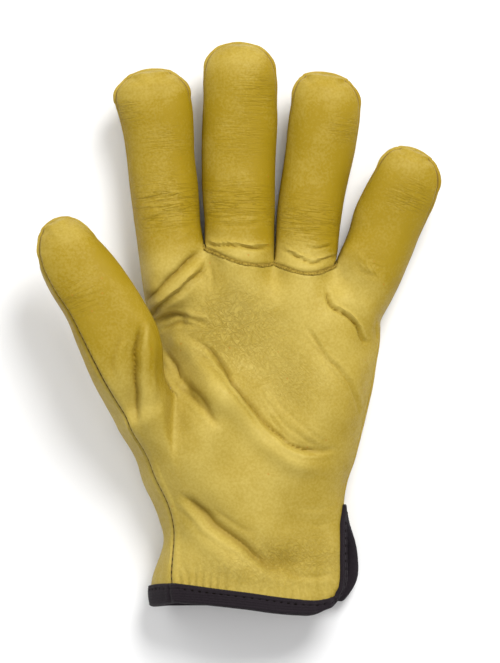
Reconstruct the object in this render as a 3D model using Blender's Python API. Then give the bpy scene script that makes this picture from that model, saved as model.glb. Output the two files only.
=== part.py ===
"""Leather glove for a left hand, lying on its back with the palm up.

X runs towards the little finger, Y from the cuff to the finger tips, Z up out of the palm.
The leather is one branching tube: a wrist loop splits into thumb and palm, and the palm loop
splits into four fingers. The tube is worked out as loops of points, cut into the glove's
panels along its seams, and each panel is drawn back from its seams and given its wall.
"""
import math
from collections import namedtuple

import bpy
import numpy as np
from mathutils.bvhtree import BVHTree

# Driving sizes, in metres
HAND_LENGTH = 0.1575
HAND_WIDTH = 0.105
PALM_DEPTH = 0.040
SIDE_HEIGHT = 0.017
WEB_HEIGHT = 0.009
INDEX_LENGTH = 0.0897
MIDDLE_LENGTH = 0.0956
RING_LENGTH = 0.0858
LITTLE_LENGTH = 0.0672
THUMB_LENGTH = 0.0922
FINGER_WIDTH = 0.0325
FINGER_DEPTH = 0.030
THUMB_WIDTH = 0.033
THUMB_DEPTH = 0.033
LEATHER = 0.0012
SEAM_GAP = 0.0003
ROW_STEP = 0.0072
VENT_LENGTH = 0.0430
VENT_SLIT = 0.0042
VENT_CORNER = 0.016
VENT_FLARE = 0.0050
PINCH_LIFT = 0.0050
BINDING_WIDTH = 0.0072
BINDING_THICKNESS = 0.0009
LINING_THICKNESS = 0.0015
LINING_GAP = 0.0005
LINING_DEPTH = 0.044
WELT_WIDTH = 0.0014
WELT_HEIGHT = 0.0006
FLOOR_FLAT = 0.0007
CROTCH_FADE = 0.022
TAPE_GAP = 0.0006

# Cells round each digit's front and back
DIGIT_CELLS = 4
FINGER_NAMES = ("index", "middle", "ring", "little")

# The hand from the cuff edge (0) to the middle finger's base seam (1). Left and right are the
# outline, as shares of the hand's width from its middle; inset is how far the outer seam
# stands in from the left outline; thenar, hollow and heel are front heights, as shares of the
# palm's depth; pinch is the share of the wrist's lift under the elastic.
HandRow = namedtuple("HandRow", "along left right inset thenar hollow heel pinch")
HAND_FORM = (
    HandRow(-0.05, -0.405, 0.415, 0.100, 0.98, 1.10, 0.98, 0.0),
    HandRow(0.02, -0.408, 0.418, 0.100, 0.98, 1.08, 0.96, 0.0),
    HandRow(0.08, -0.414, 0.421, 0.098, 0.96, 1.06, 0.92, 0.2),
    HandRow(0.13, -0.390, 0.422, 0.075, 0.94, 1.04, 0.90, 0.7),
    HandRow(0.19, -0.358, 0.421, 0.050, 0.94, 1.03, 0.88, 1.0),
    HandRow(0.25, -0.377, 0.418, 0.060, 1.00, 1.02, 0.90, 0.6),
    HandRow(0.30, -0.407, 0.420, 0.064, 1.06, 1.02, 0.96, 0.1),
    HandRow(0.36, -0.450, 0.433, 0.060, 1.12, 1.02, 1.02, 0.0),
    HandRow(0.42, -0.476, 0.467, 0.052, 1.18, 1.00, 1.06, 0.0),
    HandRow(0.50, -0.545, 0.500, 0.055, 1.22, 0.96, 1.08, 0.0),
    HandRow(0.60, -0.630, 0.535, 0.060, 1.20, 0.90, 1.08, 0.0),
    HandRow(0.70, -0.700, 0.560, 0.060, 0.92, 0.86, 1.06, 0.0),
    HandRow(0.80, -0.700, 0.583, 0.060, 0.84, 0.86, 1.02, 0.0),
    HandRow(0.90, -0.700, 0.600, 0.060, 0.86, 0.90, 0.98, 0.0),
    HandRow(1.02, -0.700, 0.600, 0.060, 0.92, 0.92, 0.92, 0.0),
)

# The palm's own left side from the thumb's split (0) to the finger roots (1), mostly hidden
# behind the thumb, as shares of the hand's width
PalmRow = namedtuple("PalmRow", "along left")
PALM_LEFT = (
    PalmRow(0.00, -0.345),
    PalmRow(0.15, -0.348),
    PalmRow(0.35, -0.380),
    PalmRow(0.65, -0.420),
    PalmRow(1.00, -0.447),
)

# The cuff edge of the front and back across the mouth: drop below zero along the hand's length
CuffRow = namedtuple("CuffRow", "across front back")
CUFF_EDGE = (
    CuffRow(-0.42, 0.021, 0.003),
    CuffRow(-0.20, 0.016, 0.003),
    CuffRow(0.00, 0.004, 0.003),
    CuffRow(0.15, -0.010, 0.003),
    CuffRow(0.28, -0.016, 0.002),
    CuffRow(0.45, -0.016, 0.000),
)

# A digit's axis: its root as shares of the hand's width and length, its lean from the
# hand's axis in degrees, how far its root loop is skewed and bowed along the axis (shares of
# its width), and the angle of its seams in front of its left and right sides, root and tip.
Digit = namedtuple("Digit", "across along lean skew bow seam_left seam_right")
DIGITS = {
    "index": Digit(-0.306, 0.966, -6.6, 0.25, 0.00, (8, 22), (8, 20)),
    "middle": Digit(-0.032, 1.004, 0.5, -0.13, 0.10, (8, 20), (8, 20)),
    "ring": Digit(0.2486, 0.981, 6.6, 0.0, 0.14, (8, 20), (8, 20)),
    "little": Digit(0.484, 0.906, 22.4, -0.26, 0.00, (8, 22), (5, 28)),
    "thumb": Digit(-0.441, 0.571, -25.4, 0.0, 0.00, (58, 24), (14, 4)),
}

# Sections along each digit, root to tip: left and right reach as shares of the digit's
# width, bottom and top heights as shares of its depth.
Section = namedtuple("Section", "along left right bottom top")
SECTIONS = {
    "index": (
        Section(0.00, 0.474, 0.437, 0.00, 1.22),
        Section(0.10, 0.474, 0.412, 0.01, 1.16),
        Section(0.20, 0.477, 0.425, 0.02, 1.12),
        Section(0.40, 0.489, 0.446, 0.08, 1.09),
        Section(0.55, 0.498, 0.449, 0.15, 1.12),
        Section(0.70, 0.517, 0.489, 0.24, 1.18),
        Section(0.82, 0.556, 0.495, 0.33, 1.22),
        Section(0.90, 0.582, 0.458, 0.41, 1.20),
        Section(0.945, 0.468, 0.363, 0.49, 1.15),
        Section(0.975, 0.314, 0.246, 0.57, 1.06),
    ),
    "middle": (
        Section(0.00, 0.474, 0.498, 0.00, 1.22),
        Section(0.10, 0.466, 0.486, 0.01, 1.16),
        Section(0.20, 0.497, 0.485, 0.02, 1.12),
        Section(0.40, 0.522, 0.487, 0.08, 1.10),
        Section(0.60, 0.529, 0.514, 0.17, 1.15),
        Section(0.75, 0.508, 0.517, 0.27, 1.21),
        Section(0.87, 0.505, 0.498, 0.37, 1.23),
        Section(0.93, 0.449, 0.418, 0.45, 1.18),
        Section(0.965, 0.357, 0.317, 0.53, 1.10),
        Section(0.985, 0.246, 0.209, 0.60, 1.02),
    ),
    "ring": (
        Section(0.00, 0.418, 0.412, 0.00, 1.20),
        Section(0.10, 0.418, 0.424, 0.01, 1.14),
        Section(0.20, 0.440, 0.436, 0.02, 1.10),
        Section(0.40, 0.440, 0.455, 0.08, 1.08),
        Section(0.55, 0.431, 0.505, 0.15, 1.11),
        Section(0.70, 0.434, 0.532, 0.24, 1.17),
        Section(0.82, 0.437, 0.542, 0.33, 1.20),
        Section(0.90, 0.415, 0.498, 0.41, 1.18),
        Section(0.945, 0.369, 0.394, 0.49, 1.13),
        Section(0.975, 0.295, 0.289, 0.57, 1.05),
    ),
    "little": (
        Section(0.00, 0.418, 0.443, 0.00, 1.10),
        Section(0.15, 0.425, 0.480, 0.02, 1.04),
        Section(0.35, 0.443, 0.498, 0.09, 1.00),
        Section(0.50, 0.477, 0.495, 0.16, 1.02),
        Section(0.65, 0.455, 0.517, 0.24, 1.07),
        Section(0.80, 0.422, 0.508, 0.34, 1.10),
        Section(0.90, 0.375, 0.452, 0.43, 1.08),
        Section(0.945, 0.298, 0.345, 0.51, 1.03),
        Section(0.975, 0.212, 0.222, 0.58, 0.95),
    ),
    "thumb": (
        Section(0.00, 0.464, 0.475, 0.10, 1.42),
        Section(0.07, 0.468, 0.455, 0.36, 1.50),
        Section(0.13, 0.473, 0.500, 0.60, 1.57),
        Section(0.25, 0.476, 0.605, 0.86, 1.69),
        Section(0.36, 0.455, 0.640, 0.90, 1.73),
        Section(0.45, 0.439, 0.625, 0.90, 1.75),
        Section(0.55, 0.421, 0.595, 0.88, 1.74),
        Section(0.65, 0.461, 0.552, 0.86, 1.72),
        Section(0.75, 0.473, 0.485, 0.89, 1.70),
        Section(0.85, 0.442, 0.397, 0.93, 1.66),
        Section(0.92, 0.352, 0.312, 0.99, 1.58),
        Section(0.955, 0.276, 0.255, 1.05, 1.51),
        Section(0.98, 0.191, 0.188, 1.11, 1.44),
    ),
}

# Folds on the front, each a valley along a path of (across, along) shares of the hand. Depth,
# half-width and roll are shares of the palm's depth; the roll is the ridge on the side that
# side names, +1 to the left of the path's direction and -1 to its right.
Fold = namedtuple("Fold", "name depth half_width roll side path")
FOLDS = (
    Fold("palm", 0.055, 0.110, 0.045, -1, (
        (-0.27, 0.786), (-0.146, 0.723), (-0.047, 0.637), (0.03, 0.569), (0.111, 0.503),
        (0.227, 0.451), (0.321, 0.443), (0.433, 0.423))),
    Fold("thumb_web", 0.065, 0.110, 0.030, 1, (
        (-0.296, 0.637), (-0.249, 0.606), (-0.18, 0.563), (-0.094, 0.503))),
    Fold("wrist", 0.070, 0.130, 0.050, -1, (
        (-0.304, 0.331), (-0.184, 0.263), (-0.073, 0.200), (0.039, 0.143), (0.163, 0.106),
        (0.260, 0.095))),
    Fold("little_root", 0.050, 0.100, 0.030, 1, (
        (0.339, 0.923), (0.364, 0.863), (0.433, 0.829), (0.497, 0.760), (0.544, 0.751))),
    Fold("index_root", 0.060, 0.100, 0.040, 1, (
        (-0.184, 1.020), (-0.283, 0.957), (-0.403, 0.889))),
    Fold("index_pocket", 0.075, 0.110, 0.035, 1, (
        (-0.390, 0.809), (-0.313, 0.831), (-0.240, 0.823))),
    Fold("thumb_side", 0.050, 0.110, 0.030, 1, (
        (-0.446, 0.817), (-0.463, 0.683), (-0.471, 0.514))),
    Fold("heel", 0.035, 0.110, 0.020, 1, (
        (0.24, 0.814), (0.334, 0.720), (0.411, 0.666), (0.476, 0.586), (0.493, 0.526))),
)

# The tape's width on the front round the cuff edge, from the vent's top on the palm side
# (0) to its top on the back (1), as shares of the binding's width
TapeRow = namedtuple("TapeRow", "along width lift")
TAPE_FORM = (
    TapeRow(0.00, 0.62, 1.0),
    TapeRow(0.03, 0.62, 2.2),
    TapeRow(0.08, 0.62, 1.2),
    TapeRow(0.14, 0.52, 2.6),
    TapeRow(0.20, 0.80, 1.4),
    TapeRow(0.26, 0.90, 1.0),
    TapeRow(0.36, 1.00, 1.0),
    TapeRow(0.50, 1.25, 1.0),
    TapeRow(0.62, 1.00, 1.0),
    TapeRow(0.78, 0.90, 1.2),
    TapeRow(0.86, 0.72, 2.4),
    TapeRow(0.93, 0.70, 1.0),
    TapeRow(1.00, 0.66, 1.0),
)


def hand_rows_needed(length):
    """Number of cells along a stretch of this length."""
    return max(2, int(round(length / ROW_STEP)))


def smooth(value):
    """0 to 1 with flat ends."""
    value = np.clip(value, 0.0, 1.0)
    return value * value * (3.0 - 2.0 * value)


def read(rows, column, at):
    """A table's column at a place along it, through its rows on a smooth curve."""
    places = np.array([row[0] for row in rows])
    values = np.array([getattr(row, column) for row in rows])
    slopes = np.gradient(values, places)
    at = np.clip(at, places[0], places[-1])
    cell = np.clip(np.searchsorted(places, at) - 1, 0, len(places) - 2)
    span = places[cell + 1] - places[cell]
    t = (at - places[cell]) / span
    first = (1 + 2 * t) * (1 - t) ** 2 * values[cell] + t * (1 - t) ** 2 * span * slopes[cell]
    return first + t * t * (3 - 2 * t) * values[cell + 1] + t * t * (t - 1) * span * slopes[cell + 1]


def digit_length(name):
    lengths = {"index": INDEX_LENGTH, "middle": MIDDLE_LENGTH, "ring": RING_LENGTH,
               "little": LITTLE_LENGTH, "thumb": THUMB_LENGTH}
    return lengths[name]


def digit_loop(name, share):
    """One loop of a digit: left seam, front left to right, right seam and side, back, left side."""
    digit = DIGITS[name]
    rows = SECTIONS[name]
    width = THUMB_WIDTH if name == "thumb" else FINGER_WIDTH
    depth = THUMB_DEPTH if name == "thumb" else FINGER_DEPTH
    seam_left = math.radians(180 - np.interp(share, (0, 1), digit.seam_left))
    seam_right = math.radians(np.interp(share, (0, 1), digit.seam_right))
    low_right = math.radians(-42)
    low_left = math.radians(222)
    front = np.linspace(0.14, 0.86, DIGIT_CELLS + 1)
    angles = [seam_left]
    angles += list(seam_left + (seam_right - seam_left) * front)
    angles += [seam_right, 0.5 * (seam_right + low_right)]
    angles += list(np.linspace(low_right, low_left - 2 * math.pi, DIGIT_CELLS + 1))
    angles += [0.5 * (seam_left + low_left) - 2 * math.pi]
    angles = np.array(angles)
    across = np.sign(np.cos(angles)) * np.abs(np.cos(angles)) ** 0.87
    height = np.sign(np.sin(angles)) * np.abs(np.sin(angles)) ** 0.87
    reach = np.where(across > 0, read(rows, "right", share), read(rows, "left", share)) * width
    bottom = read(rows, "bottom", share) * depth
    top = read(rows, "top", share) * depth
    lean = math.radians(digit.lean)
    along_axis = np.array((math.sin(lean), math.cos(lean)))
    over_axis = np.array((math.cos(lean), -math.sin(lean)))
    root = np.array((digit.across * HAND_WIDTH, digit.along * HAND_LENGTH))
    fade = 1.0 - smooth(share / 0.5)
    shift = digit.skew * width * across * fade
    shift = shift - digit.bow * width * (1 - across ** 2) * np.where(height > 0, 1.0, 0.0) * fade
    length = share * digit_length(name) + shift
    plan = root + np.outer(length, along_axis) + np.outer(across * reach, over_axis)
    z = 0.5 * (bottom + top) + 0.5 * (top - bottom) * height
    return np.column_stack((plan, z))


def hand_front_height(across, along):
    """Height of the front between its two sides: thenar, hollow and heel joined smoothly."""
    side = np.sin(0.5 * math.pi * np.clip(np.abs(across) / 0.6, 0, 1)) ** 2
    mound = np.where(across < 0, read(HAND_FORM, "thenar", along), read(HAND_FORM, "heel", along))
    hollow = read(HAND_FORM, "hollow", along)
    return (hollow + (mound - hollow) * side) * PALM_DEPTH


def hand_loop(columns_x, left, right, inset_left, inset_right, y_front, y_back, along, left_side):
    """One loop round the hand, from its front columns' places between two outlines.

    A section is a flattened oval: its front falls to the side height at both outlines, and its
    back falls from there to the floor.
    """
    middle = 0.5 * (left + right)
    half = 0.5 * (right - left)

    def side_height(across):
        return np.where(across < 0, left_side, SIDE_HEIGHT)

    def front_z(x):
        across = np.clip((x - middle) / half, -1, 1)
        fall = (1 - np.abs(across) ** 2.6) ** 0.5
        side = side_height(across)
        return side + (hand_front_height(across, along) - side) * fall

    def back_z(x):
        across = np.clip((x - middle) / half, -1, 1)
        rise = side_height(across) * (1 - (1 - np.abs(across) ** 4) ** 0.34)
        rise = np.maximum(0, rise - FLOOR_FLAT)
        lift = PINCH_LIFT * read(HAND_FORM, "pinch", along) * np.clip(1 - across ** 2, 0, 1) ** 0.3
        tape = (BINDING_THICKNESS + TAPE_GAP) * (1 - smooth((along * HAND_LENGTH - 0.008) / 0.012))
        return rise + lift + tape

    seam_x = (left + inset_left, right - inset_right)
    front_x = columns_x
    back_in = 0.055 * HAND_WIDTH
    share = (columns_x - columns_x[0]) / (columns_x[-1] - columns_x[0])
    back_x = left + back_in + (right - left - 2 * back_in) * share
    x = np.concatenate(([seam_x[0]], front_x, [seam_x[1], right], back_x[::-1], [left]))
    z = np.concatenate((front_z(np.array([seam_x[0]])), front_z(front_x),
                        front_z(np.array([seam_x[1]])), [SIDE_HEIGHT * 0.8], back_z(back_x[::-1]),
                        [left_side]))
    y = np.concatenate(([y_front(seam_x[0])], y_front(front_x), [y_front(seam_x[1]), y_back(right)],
                        y_back(back_x[::-1]), [y_back(left)]))
    return np.column_stack((x, y, z))


class Tube:
    """The glove's leather as one branching tube of quads, with a panel name for each face."""

    def __init__(self):
        self.points = []
        self.faces = []
        self.panels = []

    def add(self, points):
        first = len(self.points)
        self.points += [tuple(point) for point in points]
        return list(range(first, len(self.points)))

    def band(self, low, high, panels):
        """Quads between two loops of equal count."""
        count = len(low)
        for cell in range(count):
            after = (cell + 1) % count
            self.faces.append((low[cell], low[after], high[after], high[cell]))
            self.panels.append(panels[cell])


def loop_panels(front, cells):
    """Panel of each cell of a loop: the front's between the seams, the rest the back's."""
    return [front] * (cells + 2) + ["back_panel"] * (cells + 4)


def neighbours_joined(roots):
    """Finger root loops with the points that neighbouring fingers share averaged."""
    cells = DIGIT_CELLS
    right_side = [cells + 1, cells + 2, cells + 3, cells + 4]
    left_side = [1, 0, 2 * cells + 5, 2 * cells + 4]
    for first, second in zip(FINGER_NAMES, FINGER_NAMES[1:]):
        for a, b in zip(right_side, left_side):
            shared = 0.5 * (roots[first][a] + roots[second][b])
            roots[first][a] = shared
            roots[second][b] = shared
    return roots


def knuckle_loop(roots):
    """The loop round all four finger roots."""
    cells = DIGIT_CELLS
    front = [roots["index"][0], roots["index"][1]]
    back = []
    for name in FINGER_NAMES:
        front += list(roots[name][2:cells + 2])
        back += list(roots[name][cells + 4:2 * cells + 4][::-1])
    ends = [roots["little"][cells + 2], roots["little"][cells + 3]]
    last = [roots["index"][2 * cells + 4], roots["index"][2 * cells + 5]]
    return np.array(front + ends + back[::-1] + last)


def wrist_loop(share, split):
    """A loop of the hand from the cuff (0) to the thumb's split (1)."""
    thumb_cells = DIGIT_CELLS
    palm_cells = DIGIT_CELLS * len(FINGER_NAMES)
    tilt = 0.5 * share ** 2

    def edge_y(side):
        def place(x):
            cuff = read(CUFF_EDGE, side, np.asarray(x) / HAND_WIDTH) * HAND_LENGTH
            slope = tilt * np.clip(split[0] - np.asarray(x), 0, None)
            return cuff + (split[1] - cuff) * share - slope
        return place

    along = share * split[1] / HAND_LENGTH
    left = read(HAND_FORM, "left", along) * HAND_WIDTH
    left_along = edge_y("front")(left) / HAND_LENGTH
    left = read(HAND_FORM, "left", left_along) * HAND_WIDTH
    right = read(HAND_FORM, "right", along) * HAND_WIDTH
    inset = read(HAND_FORM, "inset", left_along) * HAND_WIDTH
    step = (right - left - inset) / (thumb_cells + palm_cells + 1.4)
    split_even = left + inset + step * (thumb_cells + 0.7)
    split_x = split_even + (split[0] - split_even) * smooth(share)
    thumb_x = np.linspace(left + inset + 0.7 * step, split_x, thumb_cells + 1)
    palm_x = np.linspace(split_x, right - 0.7 * step, palm_cells + 1)
    columns = np.concatenate((thumb_x, palm_x[1:]))
    return hand_loop(columns, left, right, inset, 0.0005, edge_y("front"), edge_y("back"), along,
                     SIDE_HEIGHT)


def palm_loop(share, split, knuckle):
    """A loop of the palm from the thumb's split (0) to the finger roots (1)."""
    palm_cells = DIGIT_CELLS * len(FINGER_NAMES)
    along = (split[1] + share * (HAND_LENGTH - split[1])) / HAND_LENGTH
    left = read(PALM_LEFT, "left", share) * HAND_WIDTH
    right_y = split[1] + share * (knuckle[palm_cells + 2, 1] - split[1])
    right = read(HAND_FORM, "right", right_y / HAND_LENGTH) * HAND_WIDTH
    step = (right - left) / (palm_cells + 2)
    even = np.linspace(left + 0.9 * step, right - 0.7 * step, palm_cells + 1)
    root_left, root_right = knuckle[-1, 0], knuckle[palm_cells + 3, 0]
    root_share = (knuckle[1:palm_cells + 2, 0] - root_left) / (root_right - root_left)
    columns = even + (left + (right - left) * root_share - even) * smooth(share)

    def level(x):
        return np.full(np.shape(x), split[1])

    left_side = WEB_HEIGHT + (SIDE_HEIGHT - WEB_HEIGHT) * smooth((share - 0.6) / 0.4)
    loop = hand_loop(columns, left, right, 0.3 * step, 0.0005, level, level, along, left_side)
    loop[:, 1] = split[1] + (knuckle[:, 1] - split[1]) * share
    return loop


def round_corner(points, corner_x, corner_y):
    """Rounds the cuff's square corner at the vent, moving each point onto a rounder grid."""
    a = np.clip(points[:, 0] - (corner_x - VENT_CORNER), 0, None) / VENT_CORNER
    b = np.clip((corner_y + VENT_CORNER) - points[:, 1], 0, None) / VENT_CORNER
    a = np.minimum(a, 1.1)
    b = np.minimum(b, 1.1)
    points[:, 0] -= VENT_CORNER * a * (1 - np.sqrt(1 - 0.5 * b ** 2))
    points[:, 1] += VENT_CORNER * b * (1 - np.sqrt(1 - 0.5 * a ** 2))
    return points


def grow_digit(tube, name, root_ids, first_points):
    """A digit's tube from its root loop to its closed tip."""
    cells = DIGIT_CELLS
    length = digit_length(name)
    shares = digit_stations(length)
    front = name + "_finger_front" if name in ("middle", "ring") else "palm_panel"
    panels = loop_panels(front, cells)
    root = digit_loop(name, 0.0)
    low = root_ids
    for share in shares:
        points = digit_loop(name, share)
        fade = 1 - smooth(share * length / CROTCH_FADE)
        points = points + fade * (first_points - root)
        high = tube.add(points)
        tube.band(low, high, panels)
        low = high
    close_tip(tube, name, low, front)


def digit_stations(length):
    """Even steps along a digit, closer together where its tip rounds over."""
    plain = np.linspace(0, 0.90, max(3, int(round(0.90 * length / ROW_STEP))) + 1)[1:]
    return list(plain) + [0.94, 0.968, 0.986]


def close_tip(tube, name, loop, front):
    """A grid that closes a digit: one row of cells in front of the seam and two behind it."""
    cells = DIGIT_CELLS
    ring = np.array([tube.points[i] for i in loop])
    tip = digit_loop(name, 1.0)
    rows = [loop[1:cells + 2]]
    for left, right, place in ((0, cells + 2, 0.62), (2 * cells + 5, cells + 3, 0.34)):
        share = np.linspace(0, 1, cells + 1)[1:-1, None]
        inner = ring[left] + (ring[right] - ring[left]) * share
        top = ring[1:cells + 2][1:-1]
        bottom = ring[cells + 4:2 * cells + 5][::-1][1:-1]
        inner[:, 2] = (bottom + (top - bottom) * place)[:, 2]
        inner[:, :2] = tip_line(name, inner[:, :2])
        rows.append([loop[left]] + tube.add(inner) + [loop[right]])
    rows.append(loop[cells + 4:2 * cells + 5][::-1])
    for row, (low, high) in enumerate(zip(rows, rows[1:])):
        for cell in range(cells):
            tube.faces.append((low[cell], low[cell + 1], high[cell + 1], high[cell]))
            tube.panels.append(front if row == 0 else "back_panel")


def tip_line(name, plan):
    """Moves plan points along a digit's axis to its tip, on a shallow arc."""
    digit = DIGITS[name]
    lean = math.radians(digit.lean)
    axis = np.array((math.sin(lean), math.cos(lean)))
    over = np.array((math.cos(lean), -math.sin(lean)))
    root = np.array((digit.across * HAND_WIDTH, digit.along * HAND_LENGTH))
    side = (plan - root) @ over
    side = side - 0.5 * (side.max() + side.min())
    reach = digit_length(name) * (1 - 0.010 * (side / side.max()) ** 2)
    return root + np.outer(reach, axis) + np.outer((plan - root) @ over, over)


def build_tube():
    """The whole tube, its wrist loops, the vent's second edge and the path of the welt."""
    tube = Tube()
    cells = DIGIT_CELLS
    thumb_root = digit_loop("thumb", 0.0)
    split = thumb_root[cells + 1].copy()
    roots = neighbours_joined({name: digit_loop(name, 0.0) for name in FINGER_NAMES})
    knuckle = knuckle_loop(roots)

    # The loop where thumb and palm part, and the four points that both share
    wrist_count = hand_rows_needed(split[1])
    wrist_top = wrist_loop(1.0, split)
    palm_first = palm_loop(0.0, split, knuckle)
    count = len(wrist_top)
    front_split = cells + 1
    back_split = count - 2 - cells
    shared = 0.5 * (thumb_root[cells + 1:cells + 5] + palm_first[[1, 0, -1, -2]])
    target = wrist_top.copy()
    target[:front_split] = thumb_root[:front_split]
    target[back_split + 1:] = thumb_root[cells + 5:]
    target[front_split] = shared[0]
    target[back_split] = shared[3]
    target[front_split + 1:back_split] = palm_first[2:-2]

    # Wrist loops, with the right seam doubled along the vent
    seam = cells * (len(FINGER_NAMES) + 1) + 2
    loops = []
    for row in range(wrist_count + 1):
        share = row / wrist_count
        loop = wrist_loop(share, split)
        fade = 1 - smooth((1 - share) * split[1] / (1.6 * CROTCH_FADE))
        loop = loop + fade * (target - wrist_top)
        loops.append(loop)
    panels = loop_panels("palm_panel", cells * (len(FINGER_NAMES) + 1))
    ids = []
    doubles = []
    for loop in loops:
        is_open = loop[seam][1] < VENT_LENGTH
        open_share = smooth(2.2 * (1 - loop[seam][1] / VENT_LENGTH))
        front_edge = loop[seam].copy()
        back_edge = loop[seam].copy()
        if is_open:
            lift = 0.5 * VENT_SLIT + 0.2 * SIDE_HEIGHT * open_share
            front_edge[2] += lift
            loop[seam - 1][2] += 0.65 * lift
            loop[seam - 2][2] += 0.25 * lift
            back_edge[2] -= 0.5 * VENT_SLIT
            back_edge += np.array((VENT_FLARE, 0, -0.65 * SIDE_HEIGHT)) * open_share
            loop[seam + 1] += np.array((0.50 * VENT_FLARE, 0, -0.60 * SIDE_HEIGHT)) * open_share
        points = loop.copy()
        points[seam] = front_edge
        corner_y = loops[0][seam][1]
        front_part = round_corner(points[:seam + 1].copy(), loops[0][seam][0], corner_y)
        back_part = np.vstack((back_edge[None], points[seam + 1:]))
        back_part = round_corner(back_part, loops[0][seam][0] + VENT_FLARE, loops[0][seam + 1][1])
        points[:seam + 1] = front_part
        points[seam + 1:] = back_part[1:]
        loop_ids = tube.add(points)
        double = tube.add(back_part[:1])[0] if is_open else loop_ids[seam]
        ids.append(loop_ids)
        doubles.append(double)
    for row in range(wrist_count):
        low, high = ids[row], ids[row + 1]
        for cell in range(count):
            after = (cell + 1) % count
            a, b, c, d = low[cell], low[after], high[after], high[cell]
            if cell == seam:
                a, d = doubles[row], doubles[row + 1]
            tube.faces.append((a, b, c, d))
            tube.panels.append(panels[cell])

    # Palm loops from the split to the finger roots
    top_ids = ids[-1]
    low = [top_ids[i] for i in range(front_split, back_split + 1)]
    crotch_ids = tube.add(shared[1:3])
    low = [crotch_ids[0]] + low + [crotch_ids[1]]
    first = np.array([tube.points[i] for i in low])
    palm_count = hand_rows_needed(HAND_LENGTH - split[1])
    palm_last = palm_loop(1.0, split, knuckle)
    palm_panels = loop_panels("palm_panel", cells * len(FINGER_NAMES))
    run = HAND_LENGTH - split[1]
    for row in range(1, palm_count + 1):
        share = row / palm_count
        loop = palm_loop(share, split, knuckle)
        loop = loop + (1 - smooth(share * run / CROTCH_FADE)) * (first - palm_first)
        loop = loop + (1 - smooth((1 - share) * run / CROTCH_FADE)) * (knuckle - palm_last)
        high = tube.add(loop)
        tube.band(low, high, palm_panels)
        low = high

    # The welt lies along the roots of the two set-in fronts
    welt_path = low[1 + cells:2 + 3 * cells]

    # Fingers, each from its stretch of the knuckle loop and the crotch points between
    crotches = {}
    for name in FINGER_NAMES[:-1]:
        crotches[name] = tube.add(roots[name][[cells + 2, cells + 3]])
    palm_cells = cells * len(FINGER_NAMES)
    back_first = palm_cells + 4
    for place, name in enumerate(FINGER_NAMES):
        front = [low[1 + place * cells + i] for i in range(cells + 1)]
        back = [low[back_first + palm_cells - place * cells - i] for i in range(cells + 1)]
        left = crotches.get(FINGER_NAMES[place - 1]) if place else [low[0], low[-1]]
        right = crotches.get(name, [low[palm_cells + 2], low[palm_cells + 3]])
        root_ids = [left[0]] + front + [right[0], right[1]] + back[::-1] + [left[1]]
        grow_digit(tube, name, root_ids, roots[name])

    # Thumb
    thumb_ids = top_ids[:front_split + 1] + crotch_ids + top_ids[back_split:]
    grow_digit(tube, "thumb", thumb_ids, np.array([tube.points[i] for i in thumb_ids]))
    return tube, ids, doubles, seam, welt_path


def path_distance(plan, path):
    """Distance from plan points to a path, and which side of it they are on."""
    best = np.full(len(plan), np.inf)
    side = np.zeros(len(plan))
    for start, end in zip(path, path[1:]):
        run = end - start
        share = np.clip(((plan - start) @ run) / (run @ run), 0, 1)
        offset = plan - (start + share[:, None] * run)
        distance = np.hypot(offset[:, 0], offset[:, 1])
        cross = run[0] * offset[:, 1] - run[1] * offset[:, 0]
        nearer = distance < best
        best = np.where(nearer, distance, best)
        side = np.where(nearer, np.sign(cross), side)
    return best, side


def fold_front(points, normals):
    """Presses the folds into the front: a rounded valley with a roll beside it."""
    size = np.array((HAND_WIDTH, HAND_LENGTH))
    facing = smooth((normals[:, 2] - 0.45) / 0.4) * smooth((points[:, 1] - 0.006) / 0.014)
    moved = points.copy()
    for fold in FOLDS:
        path = np.array(fold.path) * size
        distance, side = path_distance(points[:, :2], path)
        half_width = fold.half_width * PALM_DEPTH
        valley = fold.depth * PALM_DEPTH * np.exp(-(distance / half_width) ** 2)
        crest = np.exp(-((distance - 1.6 * half_width) / half_width) ** 2)
        crest = crest * fold.roll * PALM_DEPTH * np.where(side == fold.side, 1.0, 0.2)
        moved += (facing * (crest - valley))[:, None] * normals
    return moved


def tube_normals(points, faces):
    """Unit normals at the points, shared by every panel so that cut edges stay parallel."""
    corners = points[faces]
    face_normals = np.cross(corners[:, 2] - corners[:, 0], corners[:, 3] - corners[:, 1])
    normals = np.zeros_like(points)
    for corner in range(4):
        np.add.at(normals, faces[:, corner], face_normals)
    return normals / np.linalg.norm(normals, axis=1)[:, None]


def free_edges(faces):
    """Directed edges that only one face uses."""
    pairs = {}
    for face in faces:
        for a, b in zip(face, np.roll(face, -1)):
            if (b, a) in pairs:
                del pairs[(b, a)]
            else:
                pairs[(a, b)] = True
    return list(pairs)


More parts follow.
